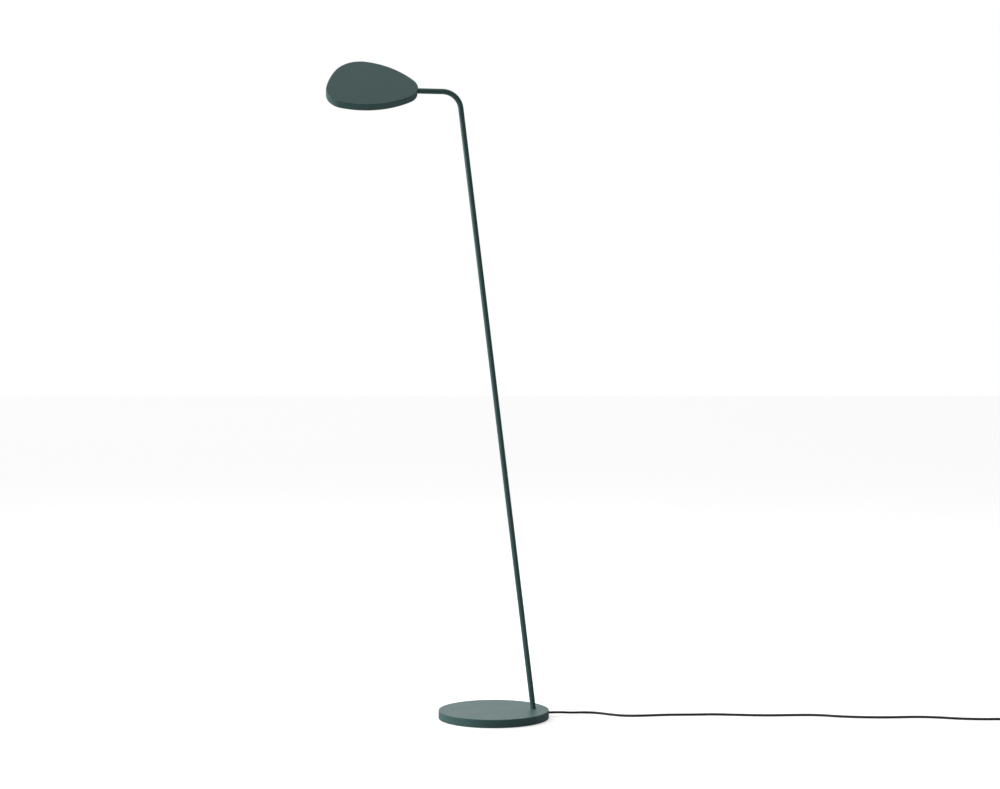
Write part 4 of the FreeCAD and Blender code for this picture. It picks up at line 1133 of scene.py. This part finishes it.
class LAMP_OT_neck(bpy.types.Operator):
    """Fit the dark washer between the arm's end and the head"""

    bl_idname = "lamp.neck"
    bl_label = "Neck washer"

    def execute(self, context):
        low, high = washer_box
        outer, inner = (high.z - low.z) / 2, 3.225 * MM
        profile = eased([(inner, low.x), (outer, low.x), (outer, high.x), (inner, high.x),
                         (inner, low.x)], [0.15 * MM, 0.15 * MM], 3)[:-1]
        rings = turned(profile, 64)
        axis = (low.z + high.z) / 2
        made = new_object("neck_ring", shell(np.stack(
            [rings[..., 2], rings[..., 1], axis + rings[..., 0]], 2), True))
        finished(made, "stand", ["neck_washer"], finish_for("black_plastic"))
        return {"FINISHED"}


class LAMP_OT_housing(bpy.types.Operator):
    """Form the head's leaf-shaped tray with its screw posts and its pivot hole"""

    bl_idname = "lamp.housing"
    bl_label = "Head"

    def execute(self, context):
        head = context.scene.lamp_head
        half = head.thickness / 2
        ceiling = half - head.top_wall
        wall = head.side_wall
        corners = [(4 * MM, half), (0, half), (0, -half), (wall, -half), (wall, ceiling),
                   (wall + 4 * MM, ceiling)]
        profile = eased(corners, [head.top_round, head.low_round, 0.2 * MM, 0.5 * MM], 8)
        middle = (-95 * MM, 2 * MM)
        outline = leaf_outline(320)
        tray = new_object("leaf_head", shell(carried(outline, profile, middle, 6)))

        cover_top = head.cover_recess - half + head.cover_gauge
        into = ceiling + 0.8 * MM
        posts = [(x, y, 2.6, 1.25, cover_top, 5.0) for x, y in cover_screw_spots()]
        posts += [(x * MM, y * MM, 2.6, 1.25, 1.0 * MM, 3.6)
                  for x in (-26.2, -13.3) for y in (-12.0, 12.0)]
        posts += [(-42 * MM, y * MM, 2.2, 1.0, 2.4 * MM, 2.5) for y in (-12.0, 12.0)]
        tubes = []
        for x, y, outer, bore, low, deep in posts:
            turned_post = turned([(0, into), (outer * MM, into), (outer * MM, low),
                                  (bore * MM, low), (bore * MM, low + deep * MM),
                                  (0, low + deep * MM)], 32)
            tubes.append(shell(turned_post + np.array([x, y, 0.0])))
        cut(tray, [joined(*tubes)], "UNION")
        cut(tray, [shell(rod(3.6 * MM, (-6 * MM, 0, 0), (2 * MM, 0, 0), 64)),
                   shell(rod(4.8 * MM, (-0.5 * MM, 0, 0), (3 * MM, 0, 0), 64))])
        tray.data.transform(head_place(head))
        finished(tray, "head", ["head_housing"], finish_for("head_paint"))
        return {"FINISHED"}


class LAMP_OT_underside(bpy.types.Operator):
    """Make the cover round the lit window, its screws and the opal diffuser"""

    bl_idname = "lamp.underside"
    bl_label = "Cover, screws and diffuser"

    def polar(self, outline, inset, middle, turns):
        """The outline moved in, read at given directions from a middle point."""
        points = outline[0] - inset * outline[1] - middle
        a = np.unwrap(np.arctan2(points[:, 1], points[:, 0]))
        r = np.linalg.norm(points, axis=1)
        order = np.argsort(a % FULL_TURN)
        radius = np.interp(turns, (a % FULL_TURN)[order], r[order], period=FULL_TURN)
        return middle + radius[:, None] * np.stack([np.cos(turns), np.sin(turns)], 1)

    def execute(self, context):
        head = context.scene.lamp_head
        half = head.thickness / 2
        low = head.cover_recess - half
        top = low + head.cover_gauge
        matrix = head_place(head)
        middle = np.array([-105.0, 4.0]) * MM
        outside, window = leaf_outline(6000), window_outline(6000, head)
        points, _ = leaf_outline(360)
        turns = np.arctan2(*(points - middle).T[::-1]) % FULL_TURN
        ease = 0.25 * MM

        def ring(outline, inset, height):
            """One ring of the cover at a height."""
            flat = self.polar(outline, inset, middle, turns)
            return np.column_stack([flat, np.full(len(flat), height)])

        edge = head.side_wall + head.cover_gap
        c = math.cos(math.pi / 4) * ease
        rings = [ring(outside, edge, top), ring(outside, edge, low + ease),
                 ring(outside, edge + ease - c, low + ease - c), ring(outside, edge + ease, low),
                 ring(window, -ease, low), ring(window, c - ease, low + ease - c),
                 ring(window, 0.0, low + ease), ring(window, 0.0, top)]
        cover = new_object("light_cover", shell(np.array(rings), True))
        hole = head.button_radius + 0.3 * MM
        button_hole = turned([(0, low - 1 * MM), (hole + 1.25 * MM, low - 1 * MM),
                              (hole, low + 0.25 * MM), (hole, top + 1 * MM), (0, top + 1 * MM)], 64)
        tools = [shell(button_hole + np.array([-head.button_place, 0, 0]))]
        sink = 1.15 * MM
        for x, y in cover_screw_spots():
            cone = turned([(0, low - 0.4 * MM), (2.3 * MM + 0.365 * MM, low - 0.4 * MM),
                           (1.25 * MM, low + sink), (1.25 * MM, top + 1 * MM),
                           (0, top + 1 * MM)], 40)
            tools.append(shell(cone + np.array([x, y, 0.0])))
        cut(cover, [joined(*tools)])
        cover.data.transform(matrix)
        finished(cover, "head", ["underside_cover"], finish_for("head_paint"), 25.0)

        screws = []
        for index, (x, y) in enumerate(cover_screw_spots()):
            profile = eased([(0, top + 5 * MM), (1.25 * MM, top + 5 * MM), (1.25 * MM, low + sink),
                             (2.28 * MM, low + 0.02 * MM), (0.85 * MM, low + 0.02 * MM),
                             (0.8 * MM, low + 0.85 * MM), (0, low + 1.1 * MM)],
                            [0.2 * MM, 0, 0.06 * MM, 0.05 * MM, 0], 3)
            rings = turned(profile, 72)
            a = np.arange(72) * FULL_TURN / 72
            socket = (profile[:, 0] <= 0.95 * MM) & (profile[:, 1] < low + 1.0 * MM)
            six_sided = math.cos(math.pi / 6) / np.cos((a + 0.4 * index) % (math.pi / 3)
                                                       - math.pi / 6)
            rings[socket, :, :2] *= six_sided[None, :, None]
            screws.append(shell(rings + np.array([x, y, 0.0])))
        made = new_object("cover_screw_set", joined(*screws))
        made.data.transform(matrix)
        finished(made, "head", ["cover_screws"], finish_for("plain_steel"), 25.0)

        lip, gap = 2.2 * MM, 0.2 * MM
        lip_top = top + 1.5 * MM
        face = window_outline(288, head)
        profile = eased([(gap + 4 * MM, low), (gap, low), (gap, top), (-lip, top), (-lip, lip_top),
                         (4 * MM, lip_top)], [0.3 * MM, 0.1 * MM, 0.1 * MM, 0.2 * MM], 4)
        opal = new_object("opal_panel", shell(carried(face, profile, (-112 * MM, 2 * MM), 6)))
        opal.data.transform(matrix)
        finished(opal, "head", ["diffuser"], finish_for("opal_diffuser"))
        return {"FINISHED"}


class LAMP_OT_button(bpy.types.Operator):
    """Turn the dimmer's button with its shallow dish, and its plunger"""

    bl_idname = "lamp.button"
    bl_label = "Dimmer button"

    def execute(self, context):
        head = context.scene.lamp_head
        half = head.thickness / 2
        face, flange = -half - 0.4 * MM, head.cover_recess - half + head.cover_gauge + 0.1 * MM
        radius = head.button_radius
        r = np.linspace(0, 3.1 * MM, 16)
        dish = np.stack([r, face + 0.45 * MM * np.cos(math.pi * r / (6.2 * MM)) ** 2], 1)
        rim = eased([(3.1 * MM, face), (radius, face), (radius, flange), (5.6 * MM, flange),
                     (5.6 * MM, flange + 0.7 * MM), (1.6 * MM, flange + 0.7 * MM),
                     (1.6 * MM, -3.4 * MM), (0, -3.4 * MM)],
                    [0.4 * MM, 0, 0.1 * MM, 0.1 * MM, 0.1 * MM, 0.1 * MM], 5)
        rings = turned(np.concatenate([dish, rim[1:]]), 96)
        button = new_object("dimmer_cap", shell(rings + np.array([-head.button_place, 0, 0])))
        button.data.transform(head_place(head))
        finished(button, "button", ["dimmer_button"],
                 finish_for("button_plastic"))
        return {"FINISHED"}


class LAMP_OT_supply(bpy.types.Operator):
    """Mould the power supply's two halves, its strain relief and its two pins"""

    bl_idname = "lamp.supply"
    bl_label = "Power supply"

    def half_case(self, lead, name, heights):
        """One half of the case: outside face, wall, parting edge with a fine groove, inner
        wall and inner face."""
        low, high = supply_box
        face, inner_face, parting, lip = heights
        outline = box_outline(low, high, lead.supply_corner, 192)
        wall = lead.supply_wall
        flat = 0.8 * lead.supply_corner
        corners = [(flat, face), (0, face), (0, parting - lip), (0.35 * MM, parting),
                   (wall, parting), (wall, inner_face), (flat, inner_face)]
        profile = eased(corners, [lead.supply_edge, 0.05 * MM, 0.1 * MM, 0, 0.8 * MM], 6)
        middle = ((low.x + high.x) / 2, (low.y + high.y) / 2)
        return new_object(name, shell(carried(outline, profile, middle, 5)))

    def execute(self, context):
        lead = context.scene.lamp_lead
        low, high = supply_box
        split, wall = lead.supply_split, lead.supply_wall
        middle_x = (low.x + high.x) / 2
        entry_radius, axis = 4.55 * MM, 8 * MM
        entry = shell(rod(entry_radius, (middle_x, low.y - 1 * MM, axis),
                          (middle_x, low.y + 3 * MM, axis), 64))
        back = self.half_case(lead, "supply_lower_half",
                              (low.z, low.z + wall, split, 0.3 * MM))
        cut(back, [entry])
        finished(back, "stand", ["supply_back"], finish_for("supply_plastic"))
        front = self.half_case(lead, "supply_upper_half",
                               (high.z, high.z - wall, split, -0.3 * MM))
        pin_place = 40 * MM
        pin_y = low.y + pin_place
        pin_x = [middle_x + side * lead.pin_spacing / 2 for side in (-1, 1)]
        face = high.z
        sockets = [shell(rod(1.7 * MM, (x, pin_y, face - 5 * MM), (x, pin_y, face + 2 * MM), 40))
                   for x in pin_x]
        seats = [shell(rod(3.6 * MM, (x, pin_y, face - 0.4 * MM), (x, pin_y, face + 1 * MM), 64))
                 for x in pin_x]
        cut(front, [joined(*sockets), joined(*seats)])
        finished(front, "stand", ["supply_front"], finish_for("supply_plastic"))

        neck, root = high.z + 0.5 * MM, high.z - 4 * MM
        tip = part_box("plug_pins")[1].z
        profile = eased([(0, root), (1.7 * MM, root), (1.7 * MM, neck), (lead.pin_radius, neck),
                         (lead.pin_radius, tip), (0, tip)],
                        [0, 0, 0.1 * MM, 1.3 * MM], 8)
        pins = new_object("pin_pair", joined(*[shell(turned(profile, 64) + np.array([x, pin_y, 0]))
                                               for x in pin_x]))
        finished(pins, "stand", ["plug_pins"], finish_for("pin_plating"))

        start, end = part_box("supply_relief")
        self.relief(lead, middle_x, start.y, end.y)
        return {"FINISHED"}

    def relief(self, lead, x, start_y, end_y):
        """Tapered sleeve with slots that alternate from side to side: radius = taper − slot
        depth, where a slot is open over two quarter turns and every other one is turned by
        a quarter."""
        bore = lead.cord_diameter / 2
        taper_length, tip_radius, root_radius = 22 * MM, 3.05, 4.5
        rows = 177
        s = np.linspace(0, taper_length, rows)
        taper = tip_radius * MM + (root_radius - tip_radius) * MM * s / taper_length
        sides = 96
        a = np.arange(sides) * FULL_TURN / sides
        pitch = 2.2 * MM
        along_slots = (s - 2.0 * MM) / pitch
        index = np.floor(along_slots)
        share = along_slots - index
        open_slot = np.clip(1.5 - 10 * np.abs(share - 0.5), 0, 1)
        open_slot *= (index >= 0) & (index < 8)
        side = np.cos(2 * (a[None] + (index[:, None] % 2) * math.pi / 2))
        width = np.clip(4 * side + 2.0, 0, 1)
        depth = np.minimum(0.9 * MM, taper - bore - 0.35 * MM)
        radius = taper[:, None] - depth[:, None] * open_slot[:, None] * width
        radius[:3] -= np.array([0.35, 0.12, 0.02])[:, None] * MM
        whole = end_y - start_y
        tail = np.array([(root_radius * MM, whole), (bore, whole), (bore, 0.0)])
        radii = np.concatenate([radius, np.repeat(tail[:, :1], sides, 1)])
        along = np.concatenate([s, tail[:, 1]])
        rings = np.stack([x + radii * np.cos(a), np.repeat(start_y + along[:, None], sides, 1),
                          8 * MM + radii * np.sin(a)], 2)
        sleeve = new_object("supply_sleeve", shell(rings, True))
        finished(sleeve, "stand", ["supply_relief"], finish_for("black_rubber"))


class LAMP_OT_inner_pieces(bpy.types.Operator):
    """Give the frame's own inner pieces their finishes"""

    bl_idname = "lamp.inner_pieces"
    bl_label = "Inner pieces"

    def execute(self, context):
        slots = {row["slot"] for row in frame["record"]["materials"]}
        for piece in frame["nodes"].values():
            for place in piece.material_slots:
                slot = place.material.name.split(".")[0]
                if slot not in slots:
                    raise ValueError(f"{piece.name} has no finish for {slot}")
                place.material = finish_for(slot)
        return {"FINISHED"}


class LAMP_PT_lamp(bpy.types.Panel):
    """Sizes, colours and building steps of the lamp"""

    bl_idname = "LAMP_PT_lamp"
    bl_label = "Floor Lamp"
    bl_space_type = "VIEW_3D"
    bl_region_type = "UI"
    bl_category = "Floor Lamp"

    def draw(self, context):
        for operator in OPERATORS:
            self.layout.operator(operator.bl_idname)
        for name, group_class in SETTINGS.items():
            box = self.layout.box()
            for key in group_class.__annotations__:
                box.prop(getattr(context.scene, name), key)


OPERATORS = [LAMP_OT_camera, LAMP_OT_lead, LAMP_OT_coil_tie, LAMP_OT_stage, LAMP_OT_base,
             LAMP_OT_grommet, LAMP_OT_stem, LAMP_OT_neck, LAMP_OT_housing, LAMP_OT_underside,
             LAMP_OT_button, LAMP_OT_supply, LAMP_OT_inner_pieces]


def register():
    """Register every class and attach the settings to the scene."""
    for made in (*SETTINGS.values(), *OPERATORS, LAMP_PT_lamp):
        bpy.utils.register_class(made)
    for name, group_class in SETTINGS.items():
        setattr(bpy.types.Scene, name, PointerProperty(type=group_class))


def unregister():
    """Take the settings and the classes away again."""
    for name in SETTINGS:
        delattr(bpy.types.Scene, name)
    for made in reversed((*SETTINGS.values(), *OPERATORS, LAMP_PT_lamp)):
        bpy.utils.unregister_class(made)


def main():
    """Build the whole lamp."""
    register()
    for operator in OPERATORS:
        family, step = operator.bl_idname.split(".")
        getattr(getattr(bpy.ops, family), step)()


if __name__ == "__main__":
    main()
